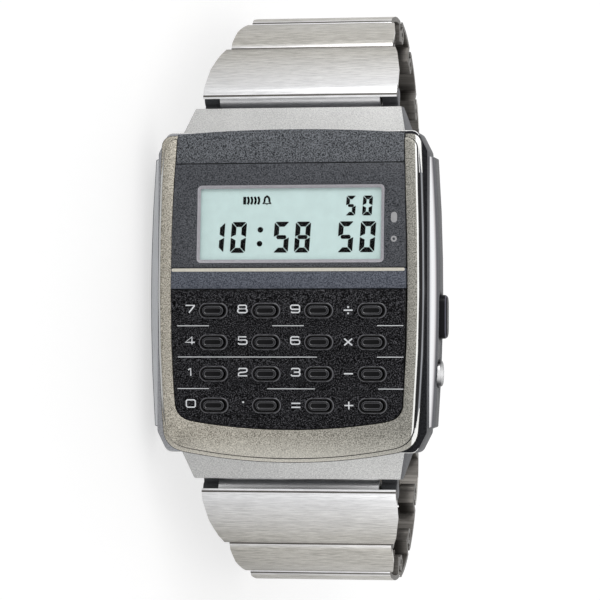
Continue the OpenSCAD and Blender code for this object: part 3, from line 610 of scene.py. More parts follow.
def make_bezel(kit):
    """Warm blasted metal, with painted shade towards 3 o'clock, a painted highlight towards its
    foot at 6 o'clock and a painted highlight along its outer edge.
    """
    grit = kit.grain(7.5, 2.0, 0.7)
    # Painted shade: darker from 9 o'clock to 3 o'clock
    side = kit.spread(kit.axis("X"), -16.0, 16.0)
    pale = kit.blend(side, srgb(216, 210, 197), srgb(176, 174, 166))
    dark = kit.blend(side, srgb(118, 114, 104), srgb(92, 91, 86))
    blasted_grain_and_side_shade = kit.blend(kit.spread(grit, 0.36, 0.64), dark, pale)
    # Painted highlight: paler towards the foot at 6 o'clock
    foot = kit.spread(-1 * kit.axis("Y"), *FOOT_SHINE, 0.0, 0.5)
    lit_foot = kit.blend(foot, blasted_grain_and_side_shade, srgb(236, 233, 224))
    # Painted highlight: a bright line along the bezel's outer edge
    painted_edge_highlight = kit.spread(kit.outward(), *BEZEL_HIGHLIGHT_X)
    return metal(
        kit, kit.blend(painted_edge_highlight, lit_foot, srgb(244, 244, 242)), grit, 0.56, 0.38,
        Normal=kit.bump(grit, 0.00003, 0.7),
    )


def make_ledge(kit):
    """Polished step round the bezel, with painted shade where it turns the corners and on its 3
    o'clock side.
    """
    wear = kit.grain(0.6, 3.0)
    # Painted shade towards the corners
    ends = kit.spread(abs(kit.axis("Y") - LEDGE_MIDDLE_Y), *LEDGE_CORNER_SHADE)
    step = kit.blend(ends, srgb(216, 217, 216), srgb(118, 118, 116))
    outward = kit.outward()
    # Painted shade on the 3 o'clock side: dark next to the bezel, grey beyond
    wall = kit.spread(outward, *LEDGE_WALL_X)
    painted_shade_right_step = kit.blend(wall, srgb(46, 46, 47), srgb(150, 152, 156))
    return metal(
        kit, kit.blend(outward > LEDGE_FOLD_X, step, painted_shade_right_step), wear, 0.3, 0.2,
    )


def make_deck(kit):
    """Satin metal of the case's front, with painted shade at 3 o'clock: a lit copy and a shaded
    copy.
    """
    grit = kit.grain(5.0, 2.0, 0.7)
    lit = kit.blend(kit.spread(grit, 0.34, 0.66), srgb(148, 149, 153), srgb(176, 177, 181))
    shaded = kit.blend(kit.spread(grit, 0.34, 0.66), srgb(26, 26, 28), srgb(44, 45, 48))
    return metal(
        # Painted shade: the 3 o'clock half takes the dark copy
        kit, kit.blend(kit.axis("X") > 0.0, lit, shaded), grit, 0.52, 0.32,
    )


def make_rail_front_painted_light(kit):
    """Polished front of the rails, with a painted highlight down the middle and painted shade
    towards the 3 o'clock wall.
    """
    wear = kit.grain(0.6, 3.0)
    y = kit.axis("Y")
    across = kit.spread(kit.axis("X") + y * y * RAIL_BOW, *RAIL_X)
    # Painted highlight down the rail's middle and painted shade towards the 3 o'clock wall
    painted_light_bands = kit.add("ShaderNodeValToRGB", {"stops": [
        (0.0, srgb(232, 234, 237)), (0.02, srgb(176, 178, 182)), (0.14, srgb(214, 216, 219)),
        (0.3, srgb(246, 247, 249)), (0.55, srgb(240, 240, 242)), (0.68, srgb(196, 193, 196)),
        (0.78, srgb(112, 112, 116)), (1.0, srgb(84, 85, 88)),
    ]}, {"Fac": across})
    return metal(kit, painted_light_bands, wear, 0.2, 0.12)


def make_round_pusher_painted_light(kit):
    """Turned steel, with a painted highlight in the middle of its dish and painted shade at the
    rim.
    """
    wear = kit.grain(1.2, 3.0)
    # Painted highlight in the dish's middle and painted shade towards the rim
    rim = kit.spread(abs(kit.axis("Y") - ROUND_Y), 0.2, 1.2)
    return metal(
        kit, kit.blend(rim, srgb(226, 226, 227), srgb(78, 78, 80)), wear, 0.3, 0.2,
    )


def make_shoulder(kit):
    """Pale metal with a fine blasted grain."""
    grit = kit.grain(7.0, 2.0, 0.7)
    cloud = kit.grain(0.12)
    mixed = kit.spread(grit * 0.85 + cloud * 0.15, 0.34, 0.66)
    return metal(
        kit, kit.blend(mixed, srgb(186, 186, 186), srgb(232, 232, 230)), grit, 0.54, 0.34,
        Normal=kit.bump(grit, 0.00004, 0.8),
    )


def polished(kit, colour, roughness=0.12):
    wear = kit.grain(0.6, 3.0)
    dark = tuple(channel * 0.82 for channel in colour[:3]) + (1.0,)
    return metal(
        kit, kit.blend(kit.spread(wear, 0.35, 0.65), dark, colour),
        wear, roughness + 0.08, roughness,
    )


def moulded(kit, colour, roughness=0.4, gloss=0.5, fine=4.0, depth=0.00001, variation=0.85):
    """Plastic, rubber or paint with a slight unevenness."""
    texture = kit.grain(fine)
    dark = tuple(channel * variation for channel in colour[:3]) + (1.0,)
    return kit.surface(
        Base_Color=kit.blend(kit.spread(texture, 0.3, 0.7), dark, colour),
        Roughness=kit.spread(texture, 0.3, 0.7, roughness + 0.06, roughness - 0.04),
        Specular_IOR_Level=gloss,
        Normal=kit.bump(texture, depth, 0.5),
    )


def speckled(kit, colour, light, low, high, roughness=0.35, gloss=0.15, fine=6.5):
    """Dark paint with fine pale grains."""
    grit = kit.grain(fine, 2.0, 0.65)
    return kit.surface(
        Base_Color=kit.blend(kit.spread(grit, low, high), colour, light),
        Roughness=kit.spread(grit, 0.3, 0.7, roughness, roughness + 0.1),
        Specular_IOR_Level=gloss,
        Normal=kit.bump(grit, 0.00002, 0.4),
    )


def make_display(kit):
    """Pale green liquid crystal, with painted shade towards its edges."""
    half_w, half_h = WINDOW[0] / 2, WINDOW[1] / 2
    across = kit.spread(abs(kit.axis("X")), half_w - WINDOW_SHADE[0], half_w)
    tall = kit.spread(abs(kit.axis("Y") - WINDOW_Y), half_h - WINDOW_SHADE[1], half_h)
    fine = kit.grain(3.0)
    # Painted shade towards the window's edges
    rim = kit.spread(across * across * 0.6 + tall * tall * 0.5 + fine * 0.1, 0.05, 1.0)
    return kit.surface(
        Base_Color=kit.blend(rim, srgb(209, 233, 231), srgb(186, 210, 206)),
        Roughness=kit.spread(fine, 0.3, 0.7, 0.3, 0.36),
        Coat_Weight=0.4,
    )


def make_pane(kit):
    """The clear cover over the window: almost all of it is seen through."""
    fine = kit.grain(1.0)
    return kit.surface(
        Base_Color=srgb(28, 32, 32),
        Roughness=kit.spread(fine, 0.3, 0.7, 0.05, 0.08),
        Alpha=kit.spread(fine, 0.3, 0.7, 0.03, 0.05),
        Coat_Weight=1.0,
    )


def make_case_back(kit):
    """Steel brushed straight along the watch's Y."""
    lines = kit.grain((7.0, 0.12, 7.0), 3.0, 0.6)
    streak = kit.spread(lines, 0.3, 0.7)
    return metal(
        kit, kit.blend(streak, srgb(165, 165, 165), srgb(200, 200, 200)), lines, 0.4, 0.26,
        Normal=kit.bump(lines, 0.00002, 0.5),
    )


MAKERS = {
    "bezel_blasted_painted_light": make_bezel,
    "ledge_polished_painted_shade": make_ledge,
    "shoulder_blasted": make_shoulder,
    "deck_satin_painted_shade": make_deck,
    "rail_front_painted_light": make_rail_front_painted_light,
    "round_pusher": make_round_pusher_painted_light,
    "link_brushed": make_link,
    "link_inside": lambda kit: brushed(kit, srgb(118, 115, 111), srgb(74, 71, 68), 0.42),
    "clasp_brushed": lambda kit: brushed(kit, srgb(218, 217, 213), srgb(165, 163, 160)),
    "case_back_brushed": make_case_back,
    "display": make_display,
    "window_pane": make_pane,
    "brass": lambda kit: polished(kit, srgb(214, 190, 128), 0.25),
    "bright_steel": lambda kit: polished(kit, srgb(212, 212, 210), 0.18),
}

# Dark paint: its colour, its grains' colour, where the grains start and are full, the rest
SPECKLED = {
    "strip_grained": ((22, 24, 28), (116, 119, 124), 0.38, 0.62, 0.42),
    "glass_mask": ((32, 34, 38), (93, 95, 100), 0.36, 0.64, 0.3),
    "bar_blue": ((46, 50, 60), (106, 110, 120), 0.36, 0.64, 0.3),
    "keypad_black": ((1, 1, 2), (92, 92, 96), 0.49, 0.69, 0.45, 0.03, 8.0),
}

# Plastic, rubber and paint: colour, roughness, gloss, fineness, depth, variation
MOULDED = {
    # Near-black painted shade on the bezel's walls
    "bezel_wall_painted_shade": ((44, 44, 45), 0.4, 0.05),
    # Painted shade: grey and near black for the shoulders' sides, the walls above the rails, the
    # rails' sides and their bevels
    "shoulder_side_painted_shade": ((96, 97, 101), 0.4, 0.08, 6.0, 0.00002, 0.7),
    "flank_painted_shade": ((28, 28, 31), 0.4, 0.05),
    "rail_side_painted_shade": ((86, 87, 90), 0.4, 0.08, 6.0, 0.00001, 0.75),
    "rail_edge_painted_shade": ((112, 113, 117), 0.3, 0.15),
    "flank_satin": ((84, 85, 88), 0.4, 0.08, 6.0, 0.00002, 0.75),
    "collar_black": ((4, 4, 5), 0.3, 0.14),
    # Painted highlight on the collars' rims
    "collar_rim_painted_highlight": ((92, 92, 96), 0.25, 0.4),
    "key_black": ((7, 7, 9), 0.25, 0.12),
    # Painted highlight on the keys' rims
    "key_rim_painted_highlight": ((58, 58, 62), 0.2, 0.5),
    "pusher_black": ((18, 18, 22), 0.3, 0.1),
    # Painted highlight on the oblong pusher's rounded edge
    "pusher_rim_painted_highlight": ((84, 83, 96), 0.25, 0.3),
    "window_frame": ((172, 170, 176), 0.35, 0.3),
    "pale_line": ((206, 202, 190), 0.3, 0.3),
    "digit_ink": ((8, 9, 10), 0.5, 0.04),
    "grey_print": ((158, 158, 160), 0.45, 0.2, 3.0, 0.000002, 0.93),
    "white_print": ((214, 216, 219), 0.45, 0.2, 3.0, 0.000002, 0.93),
    "module_plastic": ((48, 48, 50), 0.5),
    "board_green": ((22, 92, 58), 0.35, 0.6, 1.5, 0.00001, 0.7),
    "rubber_black": ((24, 24, 24), 0.7),
    "rubber_pale": ((196, 196, 190), 0.7),
    "connector_pink": ((214, 140, 128), 0.6),
}


# What a user may change


class WatchSizes(bpy.types.PropertyGroup):
    """Sizes of the pieces that only the scene has."""

    edge: FloatProperty(
        name="Edge radius", description="Rounding of the case's edges, in millimetres",
        default=0.07, min=0.01, max=0.12,
    )
    key_edge: FloatProperty(
        name="Key edge", description="Rounding of a key's top edge, in millimetres",
        default=0.22, min=0.05, max=0.35,
    )
    digit_height: FloatProperty(
        name="Digit height", description="Height of the display's large digits, in millimetres",
        default=3.65, min=2.5, max=4.0,
    )
    digit_stroke: FloatProperty(
        name="Digit stroke", description="Width of a large digit's segments, in millimetres",
        default=0.58, min=0.3, max=0.7,
    )
    legend_height: FloatProperty(
        name="Legend height", description="Height of the numbers by the keys, in millimetres",
        default=1.03, min=0.6, max=1.4,
    )
    legend_stroke: FloatProperty(
        name="Legend stroke", description="Width of the printed strokes, in millimetres",
        default=0.16, min=0.08, max=0.2,
    )


def face_colour(finish_name, name):
    """A colour that a user may change, by default the one in the table of its finish."""
    table = MOULDED if finish_name in MOULDED else SPECKLED
    return FloatVectorProperty(
        name=name, description=f"Colour of the {name.lower()}", subtype="COLOR",
        size=3, default=srgb(*table[finish_name][0])[:3], min=0, max=1,
    )


class WatchColours(bpy.types.PropertyGroup):
    """Colours of the face, each under the name of its finish."""

    strip_grained: face_colour("strip_grained", "Top strip")
    glass_mask: face_colour("glass_mask", "Glass round the window")
    window_frame: face_colour("window_frame", "Window frame")
    digit_ink: face_colour("digit_ink", "Display digits")
    bar_blue: face_colour("bar_blue", "Divider bar")
    keypad_black: face_colour("keypad_black", "Keypad")
    collar_black: face_colour("collar_black", "Collars")
    key_black: face_colour("key_black", "Keys")
    white_print: face_colour("white_print", "Printing")
    pusher_black: face_colour("pusher_black", "Oblong pusher")


class WatchStage(bpy.types.PropertyGroup):
    """The floor, the even light and the camera."""

    floor: FloatVectorProperty(
        name="Floor", description="Colour of the floor", subtype="COLOR",
        size=3, default=(0.87, 0.87, 0.87), min=0, max=1,
    )
    sky: FloatProperty(
        name="Sky", description="Strength of the even light from all round",
        default=0.72, min=0, max=2,
    )
    lens: FloatProperty(
        name="Lens", description="Focal length of the camera, in millimetres",
        default=196.0, min=50, max=400, unit="CAMERA",
    )


# Pieces


class WATCH_OT_case(bpy.types.Operator):
    """Mid case with its shoulders, rails and ears"""

    bl_idname = "watch.case"
    bl_label = "Case"

    def execute(self, context):
        piece = remodelled("mid_case", 1.3 * context.scene.watch_sizes.edge, merge=COARSE)

        def choose(middle, normal):
            sideways = abs(normal.x) > 0.5
            if abs(middle.y) > SHOULDER_Y:
                if sideways:
                    return 2
                return 1 if normal.z > 0.15 and middle.z > SHOULDER_LOW_Z else 0
            if normal.z > 0.3:
                if middle.z > DECK_Z:
                    return 3
                return 4 if normal.z > 0.95 else 7
            if sideways:
                return 5 if middle.z > RAIL_Z else 6
            return 0

        # The shoulders' sides, the walls above the rails, the rails' sides and the rails' bevels
        # take painted shade, in place of the case's pale metal
        paint(piece, [
            "flank_satin", "shoulder_blasted", "shoulder_side_painted_shade", "deck_satin_painted_shade", "rail_front_painted_light",
            "flank_painted_shade", "rail_side_painted_shade", "rail_edge_painted_shade",
        ], choose)
        settle(piece, "case_middle", "case", ["mid_case"])
        return {"FINISHED"}


class WATCH_OT_bezel(bpy.types.Operator):
    """Blasted frame round the face"""

    bl_idname = "watch.bezel"
    bl_label = "Bezel"

    def execute(self, context):
        piece = remodelled("bezel_frame", merge=COARSE)
        bow_foot(piece)
        soften(piece, 2 * context.scene.watch_sizes.edge, 3, clamped=False)

        def choose(middle, normal):
            if normal.z > 0.8:
                return 0 if middle.z > 6.5 or face_height(middle.y) - middle.z < 0.9 else 2
            return 1 if normal.z < 0.3 or middle.z < LEDGE_Z else 0

        # The bezel's walls take a near-black painted shade in place of its blasted metal
        paint(piece, ["bezel_blasted_painted_light", "bezel_wall_painted_shade", "ledge_polished_painted_shade"], choose)
        settle(piece, "bezel", "case", ["bezel_frame"])
        return {"FINISHED"}


class WATCH_OT_panels(bpy.types.Operator):
    """Top strip, glass mask with its window, divider bar and keypad"""

    bl_idname = "watch.panels"
    bl_label = "Face panels"

    def execute(self, context):
        edge = context.scene.watch_sizes.edge
        dressed(
            "top_strip", "top_strip_panel", "strip_grained", "face_dark", edge, merge=COARSE
        )

        mask = remodelled("display_glass")
        cutter = rounded_plate(*WINDOW, WINDOW_CORNER, 4 * FACE_TOP)
        place(cutter, Matrix.Translation((WINDOW_X, WINDOW_Y, 2 * FACE_TOP)))
        apply_modifier(mask, "BOOLEAN", object=cutter, operation="DIFFERENCE", solver="EXACT")
        bpy.data.objects.remove(cutter)
        soften(mask, edge / 2)
        paint(mask, ["glass_mask"])
        settle(mask, "display_mask", "case", ["display_glass"])

        dressed("divider_bar", "divider_panel", "bar_blue", "bar_blue", edge, merge=COARSE)
        line = stretched_disc(27.9, 0.4, 0.06, 16)
        paint(line, ["pale_line"])
        settle(line, "divider_line", "case", place_at=on_face(0, 2.52, -0.01))

        keypad = remodelled("keypad_plate", merge=COARSE)
        bow_foot(keypad)
        soften(keypad, edge, clamped=False)
        paint(keypad, ["keypad_black", "collar_black"], lambda middle, normal: int(
            middle.z > face_height(middle.y) + 0.04 or (normal.z < 0.5 and middle.z > 6)
        ))
        settle(keypad, "keypad_panel", "case", ["keypad_plate"])
        return {"FINISHED"}


class WATCH_OT_collars(bpy.types.Operator):
    """Rims round the keys"""

    bl_idname = "watch.collars"
    bl_label = "Collars"

    def execute(self, context):
        length, width, tall = COLLAR
        collar = round_head(length, width, tall, 0.13, 3, 40)
        bpy.ops.mesh.inset(thickness=0.15)
        extrude((0, 0, 0.05 - tall))
        bpy.ops.mesh.delete(type="FACE")
        pick_end(0)
        bpy.ops.mesh.delete(type="FACE")
        done()
        # The collars' rounded rims take a painted highlight
        paint(collar, ["collar_black", "collar_rim_painted_highlight"], lambda middle, normal: int(
            middle.z > tall / 2 and 0.15 < normal.z < 0.97
        ))
        rings = []
        for row in range(4):
            for column in range(4):
                x, y = key_place(row, column)
                ring = copied(collar)
                place(ring, Matrix.Translation((x, y, face_height(y) + COLLAR_PROUD - tall)))
                rings.append(ring)
        bpy.data.objects.remove(collar)
        settle(join(rings), "key_collars", "case")
        return {"FINISHED"}


def in_window(depth):
    """The axes of something that lies in the window, at a depth below the face."""
    return on_face(WINDOW_X, WINDOW_Y, -depth)


class WATCH_OT_window(bpy.types.Operator):
    """Window frame, liquid crystal and clear pane"""

    bl_idname = "watch.window"
    bl_label = "Window"

    def execute(self, context):
        width, height = WINDOW
        ring = rounded_plate(width, height, WINDOW_CORNER)
        edit(ring)
        bpy.ops.mesh.select_all(action="SELECT")
        bpy.ops.mesh.inset(thickness=0.38, depth=-0.12)
        bpy.ops.mesh.delete(type="FACE")
        done()
        apply_modifier(ring, "SOLIDIFY", thickness=0.3, offset=-1)
        paint(ring, ["window_frame"])
        settle(ring, "window_frame", "case", place_at=in_window(0.1))

        display = rounded_plate(width - 0.1, height - 0.1, WINDOW_CORNER, 0.4)
        paint(display, ["display"])
        settle(display, "display_sheet", "case", place_at=in_window(0.5))

        pane = rounded_plate(width - 0.04, height - 0.04, WINDOW_CORNER, 0.05)
        paint(pane, ["window_pane"])
        settle(pane, "window_pane", "case", place_at=in_window(0.1))
        return {"FINISHED"}


def digit_segments(height, width, stroke, slant=0.058):
    """The seven segments of one digit, its middle at the origin."""
    half_h, half_w = height / 2, width / 2
    gap = stroke * 0.09

    def slab(corners, cut):
        bpy.ops.mesh.primitive_plane_add(size=2)
        piece = bpy.context.object
        edit(piece)
        for x, y in ((-1, -1), (1, -1), (1, 1), (-1, 1)):
            target = corners[(x, y)]
            pick(lambda middle, _: (middle.xy - Vector((x, y))).length < 1e-3 and middle.z == 0)
            pull((target[0] + slant * target[1] - x, target[1] - y, 0.01))
        ends = [Vector((target[0] + slant * target[1], target[1])) for target in cut]
        pick(lambda middle, _: any((middle.xy - end).length < 1e-3 for end in ends))
        bpy.ops.mesh.bevel(offset=stroke * 0.2, segments=2, affect="VERTICES")
        bpy.ops.mesh.select_all(action="SELECT")
        extrude((0, 0, -0.02))
        done()
        return piece

    def across(y, side):
        """side 1 is the top bar, -1 the bottom one"""
        outer, inner = half_w - 1.5 * gap, half_w - stroke - 0.5 * gap
        ends = {1: outer, -1: inner} if side > 0 else {1: inner, -1: outer}
        corners = {(x, v): (x * ends[v], y + v * stroke / 2) for x in (-1, 1) for v in (-1, 1)}
        return slab(corners, [corners[(-1, side)], corners[(1, side)]])

    def upright(side, top):
        """side 1 is the right bar; top 1 the upper half"""
        outer, inner = half_w, half_w - stroke
        high, low = half_h - 1.5 * gap, gap
        corners = {}
        for x in (-1, 1):
            is_outer = x == side
            a = high if is_outer else high - stroke
            b = low if is_outer else low + stroke / 2
            reach = side * (outer if is_outer else inner)
            corners[(x, 1)] = (reach, a if top > 0 else -b)
            corners[(x, -1)] = (reach, b if top > 0 else -a)
        return slab(corners, [corners[(side, top)]])

    middle = bar(width - stroke, stroke * 0.94)
    return {
        "a": across(half_h - stroke / 2, 1), "d": across(-half_h + stroke / 2, -1), "g": middle,
        "b": upright(1, 1), "f": upright(-1, 1), "c": upright(1, -1), "e": upright(-1, -1),
    }


BELL = [
    (-0.45, -0.42), (-0.3, -0.22), (-0.29, 0.08), (-0.2, 0.32), (0, 0.43),
    (0.2, 0.32), (0.29, 0.08), (0.3, -0.22), (0.45, -0.42),
]
LOOP = [
    (-0.38, 0.5), (0.38, 0.5), (0.53, 0.35), (0.53, -0.35), (0.38, -0.5), (-0.38, -0.5),
    (-0.53, -0.35), (-0.53, 0.35),
]


def turned_over(lines):
    return [([(-x, -y) for x, y in points], closed) for points, closed in lines]


def dot(y):
    return [(-0.05, y - 0.05), (0.05, y - 0.05), (0.05, y + 0.05), (-0.05, y + 0.05)], True


# The lines of each number and sign, a number's height being 1
SIX = [([
    (0.46, 0.4), (0.35, 0.5), (-0.36, 0.5), (-0.52, 0.34), (-0.52, -0.34), (-0.36, -0.5),
    (0.38, -0.5), (0.52, -0.36), (0.52, -0.08), (0.38, 0.06), (-0.5, 0.06),
], False)]
GLYPHS = {
    "0": [(LOOP, True)],
    "1": [([(-0.25, 0.3), (0.05, 0.5), (0.05, -0.5)], False)],
    "2": [([
        (-0.5, 0.32), (-0.36, 0.5), (0.38, 0.5), (0.5, 0.38), (0.5, 0.14), (0.36, 0.02),
        (-0.34, -0.06), (-0.5, -0.2), (-0.5, -0.5), (0.52, -0.5),
    ], False)],
    "3": [([
        (-0.48, 0.36), (-0.36, 0.5), (0.36, 0.5), (0.5, 0.38), (0.5, 0.14), (0.36, 0.01),
    ], False), ([
        (-0.16, 0.01), (0.36, 0.01), (0.52, -0.14), (0.52, -0.36), (0.38, -0.5),
        (-0.38, -0.5), (-0.52, -0.34),
    ], False)],
    "4": [([(0.22, -0.5), (0.22, 0.5), (-0.55, -0.24), (0.55, -0.24)], False)],
    "5": [([
        (0.45, 0.5), (-0.44, 0.5), (-0.48, 0.06), (0.36, 0.08), (0.52, -0.06), (0.52, -0.36),
        (0.38, -0.5), (-0.38, -0.5), (-0.52, -0.36),
    ], False)],
    "6": SIX,
    "7": [([(-0.52, 0.5), (0.52, 0.5), (0.5, 0.4), (-0.12, -0.5)], False)],
    "8": [([(-0.34, 0.5), (0.34, 0.5), (0.48, 0.38), (0.48, 0.14), (0.34, 0.02),
            (-0.34, 0.02), (-0.48, 0.14), (-0.48, 0.38)], True),
          ([(-0.38, 0.02), (0.38, 0.02), (0.54, -0.12), (0.54, -0.36), (0.4, -0.5),
            (-0.4, -0.5), (-0.54, -0.36), (-0.54, -0.12)], True)],
    "9": turned_over(SIX),
    "divide": [([(-0.52, 0.0), (0.52, 0.0)], False), dot(0.42), dot(-0.42)],
    "multiply": [([(-0.46, -0.46), (0.46, 0.46)], False), ([(-0.46, 0.46), (0.46, -0.46)], False)],
    "minus": [([(-0.52, 0.0), (0.52, 0.0)], False)],
    "plus": [([(-0.52, 0.0), (0.52, 0.0)], False), ([(0.0, -0.52), (0.0, 0.52)], False)],
    "equals": [([(-0.52, 0.27), (0.52, 0.27)], False), ([(-0.52, -0.27), (0.52, -0.27)], False)],
    "point": [dot(0.4)],
}


def stroke_line(points, width, at=(0, 0), closed=False):
    """A flat printed line of one width, drawn point by point in the XY plane."""
    bpy.ops.mesh.primitive_plane_add(size=0.02)
    piece = bpy.context.object
    edit(piece)
    pick(lambda middle, _: middle.x > 0 or middle.y > 0)
    bpy.ops.mesh.delete(type="VERT")
    bpy.ops.mesh.select_all(action="SELECT")
    pull((points[0][0] + 0.01, points[0][1] + 0.01, 0))
    path = points + points[:1] if closed else points
    for start, end in zip(path, path[1:]):
        step = (end[0] - start[0], end[1] - start[1], 0)
        bpy.ops.mesh.extrude_vertices_move(TRANSFORM_OT_translate={"value": step})
    if closed:
        bpy.ops.mesh.select_all(action="SELECT")
        bpy.ops.mesh.remove_doubles(threshold=0.001)
    done()
    bpy.ops.object.convert(target="CURVE")
    line = bpy.context.object
    line.data.bevel_depth = width / 2
    line.data.bevel_resolution = 2
    line.data.use_fill_caps = True
    bpy.ops.object.convert(target="MESH")
    line = bpy.context.object
    line.location = (at[0], at[1], 0)
    line.scale = (1, 1, 0.12)
    bpy.ops.object.transform_apply(location=True, rotation=True, scale=True)
    return line


SEGMENTS = {
    "0": "abcdef", "1": "bc", "2": "abged", "3": "abgcd", "4": "fgbc", "5": "afgcd",
    "6": "afgedc", "7": "abc", "8": "abcdefg", "9": "abcdfg",
}


def digit_row(text, places, y, height, width, stroke):
    """Copies of the segments that spell a row of digits."""
    parts = digit_segments(height, width, stroke)
    made = []
    for digit, x in zip(text, places):
        for name in SEGMENTS[digit]:
            piece = copied(parts[name])
            place(piece, Matrix.Translation((x, y, 0)))
            made.append(piece)
    for part in parts.values():
        bpy.data.objects.remove(part)
    return made


# The display's two rows, measured from the window's middle
LARGE_DIGITS = "105850", (-8.88, -6.27, -1.11, 1.43, 6.58, 9.19), -1.57
SMALL_DIGITS = "50", (7.16, 9.14), 2.12
COLON_X = -3.6
COLON = (-0.68, -2.33)
BARS_X = -5.58
BARS_PITCH = 0.42
BELL_AT = (-2.9, 2.85)


class WATCH_OT_digits(bpy.types.Operator):
    """Digits, colon and small marks of the display"""

    bl_idname = "watch.digits"
    bl_label = "Display digits"

    def execute(self, context):
        sizes = context.scene.watch_sizes
        tall, stroke = sizes.digit_height, sizes.digit_stroke
        made = digit_row(*LARGE_DIGITS, tall, tall * 0.495, stroke)
        made += digit_row(*SMALL_DIGITS, tall * 0.64, tall * 0.315, stroke * 0.72)
        for y in COLON:
            bpy.ops.mesh.primitive_cylinder_add(
                vertices=20, radius=0.33, depth=0.02, location=(COLON_X + 0.05 * y, y, 0)
            )
            made.append(bpy.context.object)
        for i in range(5):
            x = BARS_X + BARS_PITCH * i
            if i == 0:
                points = [(x, -0.45), (x, 0.45)]
            else:
                points = [(x - 0.06, -0.45), (x + 0.06, -0.15), (x + 0.06, 0.15), (x - 0.06, 0.45)]
            made.append(stroke_line(points, 0.36 if i == 0 else 0.26, (0, 2.8)))
        made += [
            stroke_line(BELL, 0.24, BELL_AT, closed=True),
            stroke_line([(0, -0.52), (0, -0.58)], 0.24, BELL_AT),
            stroke_line([(0, 0.46), (0, 0.55)], 0.16, BELL_AT),
        ]
        ink = join(made)
        paint(ink, ["digit_ink"])
        settle(ink, "display_digits", "case", place_at=in_window(0.48))
        return {"FINISHED"}


KEYS = (
    ("7", "8", "9", "divide"), ("4", "5", "6", "multiply"),
    ("1", "2", "3", "minus"), ("0", "point", "equals", "plus"),
)


def key_place(row, column):
    return KEY_FIRST[0] + KEY_PITCH[0] * column, KEY_FIRST[1] - KEY_PITCH[1] * row


class WATCH_OT_keys(bpy.types.Operator):
    """Sixteen rubbery keys"""

    bl_idname = "watch.keys"
    bl_label = "Keys"

    def execute(self, context):
        edge = context.scene.watch_sizes.key_edge
        for row, names in enumerate(KEYS):
            tall = face_height(key_place(row, 0)[1]) + KEY_PROUD - KEY_BASE
            cap = round_head(*KEY_CAP, tall, edge, 4)
            bpy.ops.mesh.inset(thickness=0.1)
            pull((0, 0, -0.07))
            done()
            model = join([cap, stretched_disc(*KEY_FLANGE)])
            # The key's rounded top edge takes a painted highlight
            paint(model, ["key_black", "key_rim_painted_highlight"], lambda middle, normal: int(
                middle.z > tall - 0.16 and 0.3 < normal.z < 0.97
            ))
            for column, name in enumerate(names):
                x, y = key_place(row, column)
                settle(
                    copied(model), f"key_cap_{name}", f"key_{name}",
                    [f"key_{name}"], place_at=Matrix.Translation((x, y, KEY_BASE)),
                )
            bpy.data.objects.remove(model)
        return {"FINISHED"}


# The printing: how far left of its key a legend stands and how far up, the white lines
# with the ends of their spans, and the two grey marks for the pushers
LEGEND_LEFT = 2.84
NUMBER_RISE = 0.21
SIGN_RISE = 0.04
LINES = {
    -4.07: ((-13.28, -9.41), (-1.83, 1.99), (10.67, 13.8)),
    -7.75: ((-13.2, 3.53), (10.65, 13.8)),
    -11.48: ((-13.3, -9.47), (-2.49, 3.25), (10.74, 13.75)),
}
MARK_X = 12.62
PILL_Y = 8.64
RING_Y = 6.1


def printed(name, height, stroke, x, y):
    """A number or sign printed on the face."""
    lines = []
    for points, closed in GLYPHS[name]:
        scaled = [(px * (height - stroke) * 1.18, py * (height - stroke)) for px, py in points]
        lines.append(stroke_line(scaled, stroke, closed=closed))
    piece = join(lines)
    place(piece, on_face(x, y, 0.006))
    return piece


class WATCH_OT_legends(bpy.types.Operator):
    """Numbers, signs and lines printed on the face"""

    bl_idname = "watch.legends"
    bl_label = "Printing"

    def execute(self, context):
        tall = context.scene.watch_sizes.legend_height
        stroke = context.scene.watch_sizes.legend_stroke
        made = []
        for row, names in enumerate(KEYS):
            for column, name in enumerate(names):
                x, y = key_place(row, column)
                rise = NUMBER_RISE if name.isdigit() else SIGN_RISE
                made.append(printed(name, tall, stroke, x - LEGEND_LEFT, y + rise))
        for y, spans in LINES.items():
            for start, end in spans:
                line = bar(end - start, 0.1, 0.012)
                place(line, on_face((start + end) / 2, y, 0.006))
                made.append(line)
        pill = stretched_disc(1.25, 0.72, 0.012)
        place(pill, on_face(MARK_X, PILL_Y) @ Matrix.Rotation(math.pi / 2, 4, "Z"))
        bpy.ops.mesh.primitive_torus_add(
            major_radius=0.26, minor_radius=0.1, major_segments=32, minor_segments=8
        )
        ring = bpy.context.object
        ring.scale = (1, 1, 0.15)
        bpy.ops.object.transform_apply(location=False, rotation=False, scale=True)
        place(ring, on_face(MARK_X, RING_Y, 0.002))
        marks = join([pill, ring])
        paint(marks, ["grey_print"])
        settle(marks, "pusher_marks", "case")
        print_work = join(made)
        paint(print_work, ["white_print"])
        settle(print_work, "face_printing", "case")
        return {"FINISHED"}


